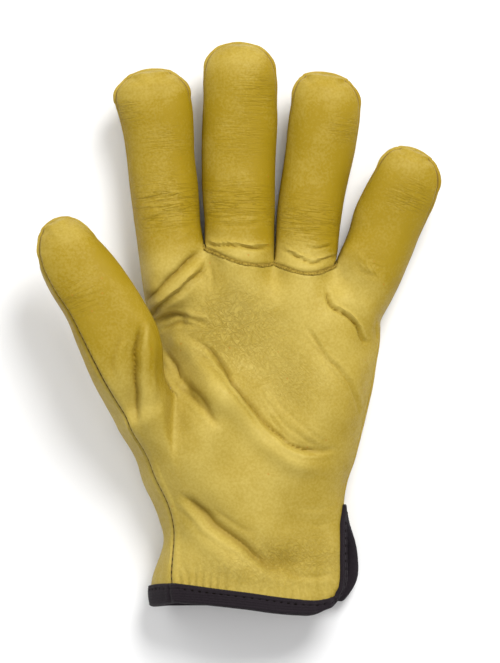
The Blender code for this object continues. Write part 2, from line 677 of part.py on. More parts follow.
def wall(points, normals, faces, drawn_back, outside, inside):
    """A closed leather wall from some of the tube's faces.

    drawn_back gives how far each point on the cut edge moves in from it; outside and inside are
    the wall's two faces as distances below the tube's surface.
    """
    used, flat = np.unique(faces, return_inverse=True)
    local = flat.reshape(faces.shape)
    place = points[used].copy()
    normal = normals[used]
    edges = free_edges(local)
    inward = np.zeros_like(place)
    centres = place[local].mean(axis=1)
    for corner in range(4):
        np.add.at(inward, local[:, corner], centres - place[local[:, corner]])
    after = dict(edges)
    before = {b: a for a, b in edges}
    shift = np.zeros_like(place)
    for a in after:
        tangent = place[after[a]] - place[before[a]]
        tangent /= np.linalg.norm(tangent)
        way = inward[a] - (inward[a] @ tangent) * tangent
        way -= (way @ normal[a]) * normal[a]
        shift[a] = drawn_back(used[a]) * way / np.linalg.norm(way)
    place += shift
    count = len(used)
    vertices = np.vstack((place - outside * normal, place - inside * normal))
    triangles = [(a, b, c) for a, b, c, d in local] + [(a, c, d) for a, b, c, d in local]
    triangles += [(c + count, b + count, a + count) for a, b, c in triangles]
    triangles += [(b, a, a + count) for a, b in edges]
    triangles += [(b, a + count, b + count) for a, b in edges]
    return vertices, triangles


def swept(sections):
    """A closed solid through sections of equal count, with flat ends."""
    count = len(sections[0])
    vertices = np.vstack(sections)
    quads = []
    for row in range(len(sections) - 1):
        for cell in range(count):
            after = (cell + 1) % count
            low = row * count
            quads.append((low + cell, low + after, low + count + after, low + count + cell))
    quads.append(tuple(range(count))[::-1])
    quads.append(tuple(range((len(sections) - 1) * count, len(sections) * count)))
    return vertices, quads


def tape_ways(points, normals, chains):
    """Unit directions from the cut edge in over the leather, evened out along the edge."""
    starts = points[[chain[0] for chain in chains]]
    normal = normals[[chain[0] for chain in chains]]
    ways = points[[chain[1] for chain in chains]] - starts
    for _ in range(3):
        ways /= np.linalg.norm(ways, axis=1)[:, None]
        spread = ways.copy()
        spread[1:-1] = ways[:-2] + 2 * ways[1:-1] + ways[2:]
        ways = spread
    ways -= (ways * normal).sum(axis=1)[:, None] * normal
    return ways / np.linalg.norm(ways, axis=1)[:, None]


def binding_sections(points, normals, faces, chains):
    """Sections of the tape: an outer leg, a turn round the cut edge and an inner leg."""
    tree = BVHTree.FromPolygons([tuple(p) for p in points], [tuple(map(int, f)) for f in faces])
    run = [0.0]
    for a, b in zip(chains, chains[1:]):
        run.append(run[-1] + np.linalg.norm(points[b[0]] - points[a[0]]))

    def over_leather(start, way, distance):
        """The leather's surface and its normal at a distance in from the edge."""
        spot, _, face, _ = tree.find_nearest(tuple(start + distance * way))
        spot = np.array(spot)
        corners = points[faces[face]]
        weights = 1 / (np.linalg.norm(corners - spot, axis=1) + 1e-6) ** 2
        up = (normals[faces[face]] * weights[:, None]).sum(axis=0)
        return spot, up / np.linalg.norm(up)

    sections = []
    for place, chain, way in zip(run, chains, tape_ways(points, normals, chains)):
        width = BINDING_WIDTH * read(TAPE_FORM, "width", place / run[-1])
        start = points[chain[0]]
        normal = normals[chain[0]]
        gap = TAPE_GAP * read(TAPE_FORM, "lift", place / run[-1])
        above = gap + BINDING_THICKNESS
        below = LEATHER + gap + BINDING_THICKNESS
        outer = [over_leather(start, way, share * width) for share in (1.0, 0.5)]
        inner = [over_leather(start, way, share * width) for share in (0.25, 0.5)]
        section = [outer[0][0] + gap * outer[0][1]]
        section += [spot + above * up for spot, up in outer]
        section.append(start + above * normal)
        section.append(start - above * way - 0.1 * LEATHER * normal)
        section.append(start - above * way - 0.9 * LEATHER * normal)
        section.append(start - below * normal)
        section += [spot - below * up for spot, up in inner]
        section.append(inner[1][0] - (LEATHER + gap) * inner[1][1])
        section.append(inner[0][0] - (LEATHER + gap) * inner[0][1])
        section.append(start - (LEATHER + gap) * normal - gap * way)
        section.append(start + gap * normal - gap * way)
        section.append(outer[1][0] + gap * outer[1][1])
        sections.append(np.array(section))
    return sections[::-1]


def welt_sections(points, normals, path):
    """Sections of the strip caught in the knuckle seam, a little proud of the leather."""
    sections = []
    path = path[1:]
    line = points[path].copy()
    line[-1] += 0.3 * (line[-2] - line[-1])
    for place, index in enumerate(path):
        before = line[max(place - 1, 0)]
        after = line[min(place + 1, len(path) - 1)]
        tangent = (after - before) / np.linalg.norm(after - before)
        normal = normals[index]
        over = np.cross(normal, tangent)
        over /= np.linalg.norm(over)
        centre = line[place]
        half = 0.5 * WELT_WIDTH
        sections.append(np.array((
            centre - half * over - LEATHER * normal,
            centre + half * over - LEATHER * normal,
            centre + half * over + WELT_HEIGHT * normal,
            centre - half * over + WELT_HEIGHT * normal)))
    return sections


def edge_chains(ids, doubles, seam):
    """For each point of the free edge, the ids that lead in from it over the leather."""
    count = len(ids[0])
    open_rows = [row for row in range(len(ids)) if doubles[row] != ids[row][seam]]
    top = max(open_rows)
    chains = [(ids[row][seam], ids[row][seam - 1], ids[row][seam - 2])
              for row in range(top, 0, -1)]
    chains.append((ids[0][seam], ids[1][seam - 1], ids[2][seam - 2]))
    for column in list(range(seam - 1, -1, -1)) + list(range(count - 1, seam, -1)):
        chains.append((ids[0][column], ids[1][column], ids[2][column]))
    chains.append((doubles[0], ids[1][seam + 1], ids[2][seam + 2]))
    chains += [(doubles[row], ids[row][seam + 1], ids[row][seam + 2]) for row in range(1, top + 1)]
    return chains


MATERIALS = {
    "leather": ((0.76, 0.50, 0.13), 0.55),
    "raw_edge": ((0.52, 0.33, 0.10), 0.90),
    "tape": ((0.018, 0.018, 0.020), 0.85),
    "fleece": ((0.42, 0.38, 0.37), 0.95),
}


def finish(name, vertices, quads, finish_name, collection, origin):
    """A named object with its own material."""
    mesh = bpy.data.meshes.new(name)
    mesh.from_pydata([tuple(v) for v in vertices - origin], [], quads)
    mesh.validate()
    mesh.shade_smooth()
    thing = bpy.data.objects.new(name, mesh)
    collection.objects.link(thing)
    colour, roughness = MATERIALS[finish_name]
    material = bpy.data.materials.new(name + "_" + finish_name)
    material.use_nodes = True
    shader = material.node_tree.nodes["Principled BSDF"]
    shader.inputs["Base Color"].default_value = (*colour, 1.0)
    shader.inputs["Roughness"].default_value = roughness
    shader.inputs["Metallic"].default_value = 0.0
    mesh.materials.append(material)
    return thing


def lining_faces(ids, doubles, seam, points):
    """Cells of the wrist behind the fleece: clear of the tape, down to the lining's depth."""
    count = len(ids[0])
    faces = []
    for row in range(1, len(ids) - 1):
        if points[ids[row + 1][seam]][1] > LINING_DEPTH + ROW_STEP:
            break
        open_here = doubles[row] != ids[row][seam] or doubles[row + 1] != ids[row + 1][seam]
        for cell in range(count):
            if open_here and cell in (seam - 2, seam - 1, seam):
                continue
            after = (cell + 1) % count
            faces.append((ids[row][cell], ids[row][after], ids[row + 1][after], ids[row + 1][cell]))
    return np.array(faces)


def main():
    for thing in list(bpy.data.objects):
        bpy.data.objects.remove(thing, do_unlink=True)
    tube, ids, doubles, seam, welt_path = build_tube()
    points = np.array(tube.points)
    faces = np.array(tube.faces)
    panels = np.array(tube.panels)
    points = fold_front(points, tube_normals(points, faces))
    normals = tube_normals(points, faces)
    chains = edge_chains(ids, doubles, seam)
    free = {chain[0] for chain in chains}
    welt = set(welt_path)

    def drawn_back(index):
        if index in free:
            return 0.5 * SEAM_GAP
        if index in welt:
            return 0.5 * WELT_WIDTH + SEAM_GAP
        return 0.5 * SEAM_GAP

    pieces = []
    for name in ("palm_panel", "back_panel", "middle_finger_front", "ring_finger_front"):
        mine = faces[panels == name]
        pieces.append((name, *wall(points, normals, mine, drawn_back, 0.0, LEATHER), "leather"))
    pieces.append(("knuckle_welt", *swept(welt_sections(points, normals, welt_path)), "raw_edge"))
    tape = binding_sections(points, normals, faces, chains)
    pieces.append(("cuff_binding", *swept(tape), "tape"))
    outside = LEATHER + LINING_GAP
    lining = wall(points, normals, lining_faces(ids, doubles, seam, points),
                  lambda index: 0.0, outside, outside + LINING_THICKNESS)
    pieces.append(("cuff_lining", *lining, "fleece"))

    every = np.vstack([piece[1] for piece in pieces])
    low, high = every.min(axis=0), every.max(axis=0)
    origin = np.array((0.5 * (low[0] + high[0]), 0.5 * (low[1] + high[1]), low[2]))
    collection = bpy.data.collections.new("leather_glove")
    bpy.context.scene.collection.children.link(collection)
    for name, vertices, quads, finish_name in pieces:
        finish(name, vertices, quads, finish_name, collection, origin)


main()
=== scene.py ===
"""Looks of a leather glove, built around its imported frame.

The leather is worked out as one branching tube of quads, refined to a fine smooth surface, and
given its seams, folds and creases there. The fine surface is cut into the glove's panels, and
the bound cuff, welt, lining and stitches are laid along its edges and seams.
"""
from __future__ import annotations

import logging
import math
from dataclasses import dataclass, field
from enum import Enum
from typing import Callable, NamedTuple, Sequence

import bpy
import numpy as np
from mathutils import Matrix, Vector
from mathutils.bvhtree import BVHTree

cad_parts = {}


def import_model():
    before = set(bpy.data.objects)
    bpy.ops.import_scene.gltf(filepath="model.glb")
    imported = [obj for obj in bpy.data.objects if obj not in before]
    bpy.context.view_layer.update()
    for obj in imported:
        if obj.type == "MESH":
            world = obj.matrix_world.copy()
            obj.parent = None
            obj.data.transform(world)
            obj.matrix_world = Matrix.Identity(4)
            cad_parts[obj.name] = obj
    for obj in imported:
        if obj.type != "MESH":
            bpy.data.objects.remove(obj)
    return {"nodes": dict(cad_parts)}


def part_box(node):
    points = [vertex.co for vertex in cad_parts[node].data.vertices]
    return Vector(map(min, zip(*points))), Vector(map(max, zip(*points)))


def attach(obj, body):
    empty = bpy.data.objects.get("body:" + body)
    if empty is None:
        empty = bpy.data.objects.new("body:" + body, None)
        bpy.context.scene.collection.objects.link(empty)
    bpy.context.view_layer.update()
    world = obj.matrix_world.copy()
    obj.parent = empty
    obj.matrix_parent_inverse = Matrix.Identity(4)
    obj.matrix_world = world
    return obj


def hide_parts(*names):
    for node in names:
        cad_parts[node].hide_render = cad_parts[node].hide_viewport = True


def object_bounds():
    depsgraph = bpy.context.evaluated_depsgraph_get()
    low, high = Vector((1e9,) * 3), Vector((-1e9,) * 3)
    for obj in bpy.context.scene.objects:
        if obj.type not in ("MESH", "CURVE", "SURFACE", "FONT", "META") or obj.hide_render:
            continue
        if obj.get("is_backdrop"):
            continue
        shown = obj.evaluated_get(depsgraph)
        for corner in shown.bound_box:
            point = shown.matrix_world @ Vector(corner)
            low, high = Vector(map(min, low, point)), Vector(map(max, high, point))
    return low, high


Array = np.ndarray
LOG = logging.getLogger("glove")
MILLIMETRE = 0.001


class Zone(Enum):
    """Parts of the leather, as columns of membership after the coordinates."""

    THUMB = 3
    INDEX = 4
    MIDDLE = 5
    RING = 6
    LITTLE = 7
    PALM = -1


class Panel(Enum):
    """The cut pieces of leather, by the name of the frame's node."""

    PALM = "palm_panel"
    BACK = "back_panel"
    MIDDLE = "middle_finger_front"
    RING = "ring_finger_front"


FINGERS = (Zone.INDEX, Zone.MIDDLE, Zone.RING, Zone.LITTLE)
PANELS = tuple(Panel)
COLUMNS = 8

# Quads of the coarse surface from one cell of the cage, after two steps of refining
COARSE = 16

# A digit's section: the power of its superellipse, and the angles of its lower corners
SECTION_POWER = 0.87
LOW_CORNERS = (-42, 222)

# A tip's rounds of smoothing, and the slices and spread of its outline's mean, in degrees
TIP_ROUNDS = 30
TIP_SLICE = 4.0
TIP_SPREAD = 11.0

# The picture's height in pixels, a pixel on the glove in millimetres, and the camera's height
# over the glove and place in plan, in metres
PICTURE_HEIGHT = 663
PIXEL = 0.45
CAMERA_HEIGHT = 2.4
CAMERA_PLAN = (0.0047, -0.0011)
GLOVE_LEVEL = 0.030

# Steps, pitches and gaps of the tape, the welt, the stitches and the panels' cuts, in millimetres
TAPE_STEP = 0.32
WELT_STEP = 0.35
WELT_END_GAP = 0.4
RIB_HEIGHT = 0.10
RIB_PITCH = 1.15
NOTCH_DEPTH = 0.20
NOTCH_PITCH = 1.25
STITCH_INSET = 2.4
TAPE_STITCH = 3.4
SEAM_STITCH = 3.0
THREAD_LENGTH = 1.5
CUT_GAP = 0.12

# The tape's distance from the vent's top, and its run round the cut edge, in metres
VENT_TOP_GAP = 0.0055
EDGE_RUN = 0.0016


@dataclass(frozen=True)
class Sizes:
    """The glove's own sizes, in metres."""

    hand_length: float = 0.1575
    hand_width: float = 0.105
    palm_depth: float = 0.040
    side_height: float = 0.017
    web_height: float = 0.009
    finger_width: float = 0.0325
    finger_depth: float = 0.030
    thumb_width: float = 0.033
    thumb_depth: float = 0.033
    leather: float = 0.0012
    row_step: float = 0.0072
    vent_length: float = 0.0430
    vent_slit: float = 0.0042
    vent_corner: float = 0.016
    vent_flare: float = 0.0050
    pinch_lift: float = 0.0050
    binding_width: float = 0.0072
    binding_thickness: float = 0.0009
    tape_gap: float = 0.0006
    lining_gap: float = 0.0005
    lining_thickness: float = 0.0015
    lining_depth: float = 0.044
    floor_flat: float = 0.0007
    crotch_fade: float = 0.022
    cells: int = 4


SIZES = Sizes()
HAND = np.array((SIZES.hand_width, SIZES.hand_length))


def trace(*thousandths: int) -> Array:
    """Plan points in shares of the hand, from thousandths of its width and length by turns."""
    return np.reshape(thousandths, (-1, 2)) / 1000


class HandRow(NamedTuple):
    """The hand at a share of its length: outline, seam inset, heights and the wrist's pinch."""

    along: float
    left: float
    right: float
    inset: float
    thenar: float
    hollow: float
    heel: float
    pinch: float


HAND_FORM = (
    HandRow(-0.05, -0.405, 0.415, 0.100, 0.98, 1.10, 0.98, 0.0),
    HandRow(0.02, -0.408, 0.418, 0.100, 0.98, 1.08, 0.96, 0.0),
    HandRow(0.08, -0.414, 0.421, 0.098, 0.96, 1.06, 0.92, 0.2),
    HandRow(0.13, -0.390, 0.422, 0.075, 0.94, 1.04, 0.90, 0.7),
    HandRow(0.19, -0.358, 0.421, 0.050, 0.94, 1.03, 0.88, 1.0),
    HandRow(0.25, -0.377, 0.418, 0.060, 1.00, 1.02, 0.90, 0.6),
    HandRow(0.30, -0.407, 0.420, 0.064, 1.06, 1.02, 0.96, 0.1),
    HandRow(0.36, -0.450, 0.433, 0.060, 1.12, 1.02, 1.02, 0.0),
    HandRow(0.42, -0.476, 0.467, 0.052, 1.18, 1.00, 1.06, 0.0),
    HandRow(0.50, -0.545, 0.500, 0.055, 1.22, 0.96, 1.08, 0.0),
    HandRow(0.60, -0.630, 0.535, 0.060, 1.20, 0.90, 1.08, 0.0),
    HandRow(0.70, -0.700, 0.560, 0.060, 0.92, 0.86, 1.06, 0.0),
    HandRow(0.80, -0.700, 0.583, 0.060, 0.84, 0.86, 1.02, 0.0),
    HandRow(0.90, -0.700, 0.600, 0.060, 0.86, 0.90, 0.98, 0.0),
    HandRow(1.02, -0.700, 0.600, 0.060, 0.92, 0.92, 0.92, 0.0),
)


class PalmRow(NamedTuple):
    """The palm's own left side, mostly behind the thumb."""

    along: float
    left: float


PALM_LEFT = (
    PalmRow(0.00, -0.345),
    PalmRow(0.15, -0.348),
    PalmRow(0.35, -0.380),
    PalmRow(0.65, -0.420),
    PalmRow(1.00, -0.447),
)


class CuffRow(NamedTuple):
    """The cuff edge across the mouth, front and back, as shares of the hand's length."""

    across: float
    front: float
    back: float


CUFF_EDGE = (
    CuffRow(-0.42, 0.021, 0.003),
    CuffRow(-0.20, 0.016, 0.003),
    CuffRow(0.00, 0.004, 0.003),
    CuffRow(0.15, -0.010, 0.003),
    CuffRow(0.28, -0.016, 0.002),
    CuffRow(0.45, -0.016, 0.000),
)


class Section(NamedTuple):
    """A digit's section: reach to both sides, and bottom and top heights, as shares."""

    along: float
    left: float
    right: float
    bottom: float
    top: float


@dataclass(frozen=True)
class Digit:
    """A digit's root, lean in degrees, root skew and bow, seam angles, length and sections."""

    across: float
    along: float
    lean: float
    skew: float
    bow: float
    seam_left: tuple[float, float]
    seam_right: tuple[float, float]
    length: float
    sections: tuple[Section, ...]

    @property
    def root(self) -> Array:
        """The middle of the digit's root in plan."""
        return np.array((self.across, self.along)) * HAND

    @property
    def axis(self) -> Array:
        """The digit's direction in plan, root to tip."""
        return np.array((math.sin(math.radians(self.lean)), math.cos(math.radians(self.lean))))

    @property
    def over(self) -> Array:
        """The direction across the digit in plan, left to right."""
        return np.array((math.cos(math.radians(self.lean)), -math.sin(math.radians(self.lean))))


DIGITS = {
    Zone.INDEX: Digit(-0.306, 0.966, -6.6, 0.25, 0.00, (8, 22), (8, 20), 0.0897, (
        Section(0.00, 0.474, 0.437, 0.00, 1.22),
        Section(0.10, 0.474, 0.412, 0.01, 1.16),
        Section(0.20, 0.477, 0.425, 0.02, 1.12),
        Section(0.40, 0.489, 0.446, 0.08, 1.09),
        Section(0.55, 0.498, 0.449, 0.15, 1.12),
        Section(0.70, 0.517, 0.489, 0.24, 1.18),
        Section(0.82, 0.556, 0.495, 0.33, 1.22),
        Section(0.90, 0.582, 0.458, 0.41, 1.20),
        Section(0.945, 0.468, 0.363, 0.49, 1.15),
        Section(0.975, 0.314, 0.246, 0.57, 1.06),
    )),
    Zone.MIDDLE: Digit(-0.032, 1.004, 0.5, -0.13, 0.10, (8, 20), (8, 20), 0.0956, (
        Section(0.00, 0.474, 0.498, 0.00, 1.22),
        Section(0.10, 0.466, 0.486, 0.01, 1.16),
        Section(0.20, 0.497, 0.485, 0.02, 1.12),
        Section(0.40, 0.522, 0.487, 0.08, 1.10),
        Section(0.60, 0.529, 0.514, 0.17, 1.15),
        Section(0.75, 0.508, 0.517, 0.27, 1.21),
        Section(0.87, 0.505, 0.498, 0.37, 1.23),
        Section(0.93, 0.449, 0.418, 0.45, 1.18),
        Section(0.965, 0.357, 0.317, 0.53, 1.10),
        Section(0.985, 0.246, 0.209, 0.60, 1.02),
    )),
    Zone.RING: Digit(0.2486, 0.981, 6.6, 0.0, 0.14, (8, 20), (8, 20), 0.0858, (
        Section(0.00, 0.418, 0.412, 0.00, 1.20),
        Section(0.10, 0.418, 0.424, 0.01, 1.14),
        Section(0.20, 0.440, 0.436, 0.02, 1.10),
        Section(0.40, 0.440, 0.455, 0.08, 1.08),
        Section(0.55, 0.431, 0.505, 0.15, 1.11),
        Section(0.70, 0.434, 0.532, 0.24, 1.17),
        Section(0.82, 0.437, 0.542, 0.33, 1.20),
        Section(0.90, 0.415, 0.498, 0.41, 1.18),
        Section(0.945, 0.369, 0.394, 0.49, 1.13),
        Section(0.975, 0.295, 0.289, 0.57, 1.05),
    )),
    Zone.LITTLE: Digit(0.484, 0.906, 22.4, -0.26, 0.00, (8, 22), (5, 28), 0.0672, (
        Section(0.00, 0.418, 0.443, 0.00, 1.10),
        Section(0.15, 0.425, 0.480, 0.02, 1.04),
        Section(0.35, 0.443, 0.498, 0.09, 1.00),
        Section(0.50, 0.477, 0.495, 0.16, 1.02),
        Section(0.65, 0.455, 0.517, 0.24, 1.07),
        Section(0.80, 0.422, 0.508, 0.34, 1.10),
        Section(0.90, 0.375, 0.452, 0.43, 1.08),
        Section(0.945, 0.298, 0.345, 0.51, 1.03),
        Section(0.975, 0.212, 0.222, 0.58, 0.95),
    )),
    Zone.THUMB: Digit(-0.441, 0.571, -25.4, 0.0, 0.00, (58, 24), (14, 4), 0.0922, (
        Section(0.00, 0.464, 0.475, 0.10, 1.42),
        Section(0.07, 0.468, 0.455, 0.36, 1.50),
        Section(0.13, 0.473, 0.500, 0.60, 1.57),
        Section(0.25, 0.476, 0.605, 0.86, 1.69),
        Section(0.36, 0.455, 0.640, 0.90, 1.73),
        Section(0.45, 0.439, 0.625, 0.90, 1.75),
        Section(0.55, 0.421, 0.595, 0.88, 1.74),
        Section(0.65, 0.461, 0.552, 0.86, 1.72),
        Section(0.75, 0.473, 0.485, 0.89, 1.70),
        Section(0.85, 0.442, 0.397, 0.93, 1.66),
        Section(0.92, 0.352, 0.312, 0.99, 1.58),
        Section(0.955, 0.276, 0.255, 1.05, 1.51),
        Section(0.98, 0.191, 0.188, 1.11, 1.44),
    )),
}


class TapeRow(NamedTuple):
    """The tape's width and lift at a share of its run round the cuff."""

    along: float
    width: float
    lift: float


TAPE_FORM = (
    TapeRow(0.00, 0.38, 1.0),
    TapeRow(0.03, 0.38, 1.6),
    TapeRow(0.08, 0.38, 1.2),
    TapeRow(0.13, 0.42, 1.8),
    TapeRow(0.18, 0.66, 1.4),
    TapeRow(0.23, 0.80, 1.0),
    TapeRow(0.36, 0.92, 1.0),
    TapeRow(0.50, 1.20, 1.0),
    TapeRow(0.62, 1.00, 1.0),
    TapeRow(0.78, 0.90, 1.2),
    TapeRow(0.86, 0.72, 2.4),
    TapeRow(0.93, 0.70, 1.0),
    TapeRow(1.00, 0.66, 1.0),
)


class Fold(NamedTuple):
    """A broad fold that the frame has too; its lengths are shares of the palm's depth.

    The fine surface keeps a part of it, as its own creases make up the rest.
    """

    name: str
    zone: Zone
    depth: float
    half_width: float
    roll: float
    side: int
    kept: float
    path: Array


FOLDS = (
    Fold("palm", Zone.PALM, 0.055, 0.110, 0.045, -1, 0.9, trace(
        -270, 786, -146, 723, -47, 637, 30, 569, 111, 503, 227, 451, 321, 443, 433, 423)),
    Fold("thumb_web", Zone.PALM, 0.065, 0.110, 0.030, 1, 0.8, trace(
        -296, 637, -249, 606, -180, 563, -94, 503)),
    Fold("wrist", Zone.PALM, 0.070, 0.130, 0.050, -1, 0.8, trace(
        -304, 331, -184, 263, -73, 200, 39, 143, 163, 106, 260, 95)),
    Fold("little_root", Zone.PALM, 0.050, 0.100, 0.030, 1, 0.35, trace(
        339, 923, 364, 863, 433, 829, 497, 760, 544, 751)),
    Fold("index_root", Zone.PALM, 0.060, 0.100, 0.040, 1, 0.8, trace(
        -184, 1020, -283, 957, -403, 889)),
    Fold("index_pocket", Zone.PALM, 0.075, 0.110, 0.035, 1, 0.45, trace(
        -390, 809, -313, 831, -240, 823)),
    Fold("thumb_side", Zone.THUMB, 0.050, 0.110, 0.030, 1, 0.5, trace(
        -446, 817, -463, 683, -471, 514)),
    Fold("heel", Zone.PALM, 0.035, 0.110, 0.020, 1, 0.6, trace(
        240, 814, 334, 720, 411, 666, 476, 586, 493, 526)),
)


WEB_SPOT = np.array((-0.330, 0.660))


class Swell(NamedTuple):
    """A broad rise or hollow on a zone, with its height and half width in millimetres."""

    name: str
    zone: Zone
    height: float
    half_width: float
    path: Array


SWELLS = (
    Swell("middle_root_roll", Zone.MIDDLE, 1.2, 2.8, trace(
        -214, 1026, -111, 1011, 17, 1000, 146, 1000)),
    Swell("middle_root_hollow", Zone.MIDDLE, -0.4, 3.4, trace(
        -197, 1057, -26, 1046, 146, 1043)),
    Swell("ring_root_roll", Zone.RING, 1.2, 2.8, trace(
        111, 994, 223, 966, 309, 960, 424, 983)),
    Swell("thumb_flat", Zone.THUMB, -1.2, 8.0, trace(
        -609, 917, -566, 817, -540, 717, -523, 617)),
    Swell("thenar_ridge", Zone.PALM, 2.1, 6.5, trace(
        -300, 754, -176, 669, -47, 583, 69, 497, 189, 431, 339, 400)),
    Swell("palm_hollow", Zone.PALM, -1.3, 9.0, trace(
        -176, 823, -26, 717, 124, 594, 296, 509)),
    Swell("wrist_roll", Zone.PALM, 0.7, 9.0, trace(
        -274, 260, -120, 154, 39, 74, 231, 51)),
    Swell("wrist_hollow", Zone.PALM, -1.3, 6.5, trace(
        -257, 366, -60, 240, 146, 143, 339, 114)),
    Swell("little_mound", Zone.PALM, 1.0, 6.0, trace(
        394, 917, 446, 823, 506, 731)),
    Swell("thumb_roll", Zone.THUMB, 1.8, 3.6, trace(
        -446, 869, -416, 774, -407, 674, -416, 574, -441, 460)),
    Swell("thumb_hollow", Zone.THUMB, -1.3, 3.0, trace(
        -459, 823, -467, 746, -476, 631, -489, 531, -506, 446)),
    Swell("index_roll", Zone.PALM, 1.5, 3.2, trace(
        -146, 1017, -249, 954, -347, 909, -411, 869, -489, 829)),
    Swell("index_roll_low", Zone.PALM, 1.3, 4.2, trace(
        -146, 937, -274, 883, -369, 851, -476, 817)),
    Swell("pocket_hollow", Zone.PALM, -1.1, 3.0, trace(
        -411, 803, -326, 823, -240, 811)),
    Swell("web_ridge", Zone.PALM, 1.2, 4.0, trace(
        -343, 766, -261, 746, -176, 703)),
    Swell("web_hollow", Zone.PALM, -1.6, 3.4, trace(
        -356, 746, -304, 669, -231, 603, -146, 560)),
    Swell("knuckle_mound", Zone.PALM, 0.9, 9.0, trace(
        -133, 931, 39, 917, 231, 874)),
    Swell("heel_mound", Zone.PALM, 1.0, 10.0, trace(
        467, 731, 454, 589, 381, 474)),
)


class Crease(NamedTuple):
    """A fine crease on a zone, with its lengths in millimetres and its path in hand shares."""

    name: str
    zone: Zone
    depth: float
    half_width: float
    roll: float
    side: int
    path: Array


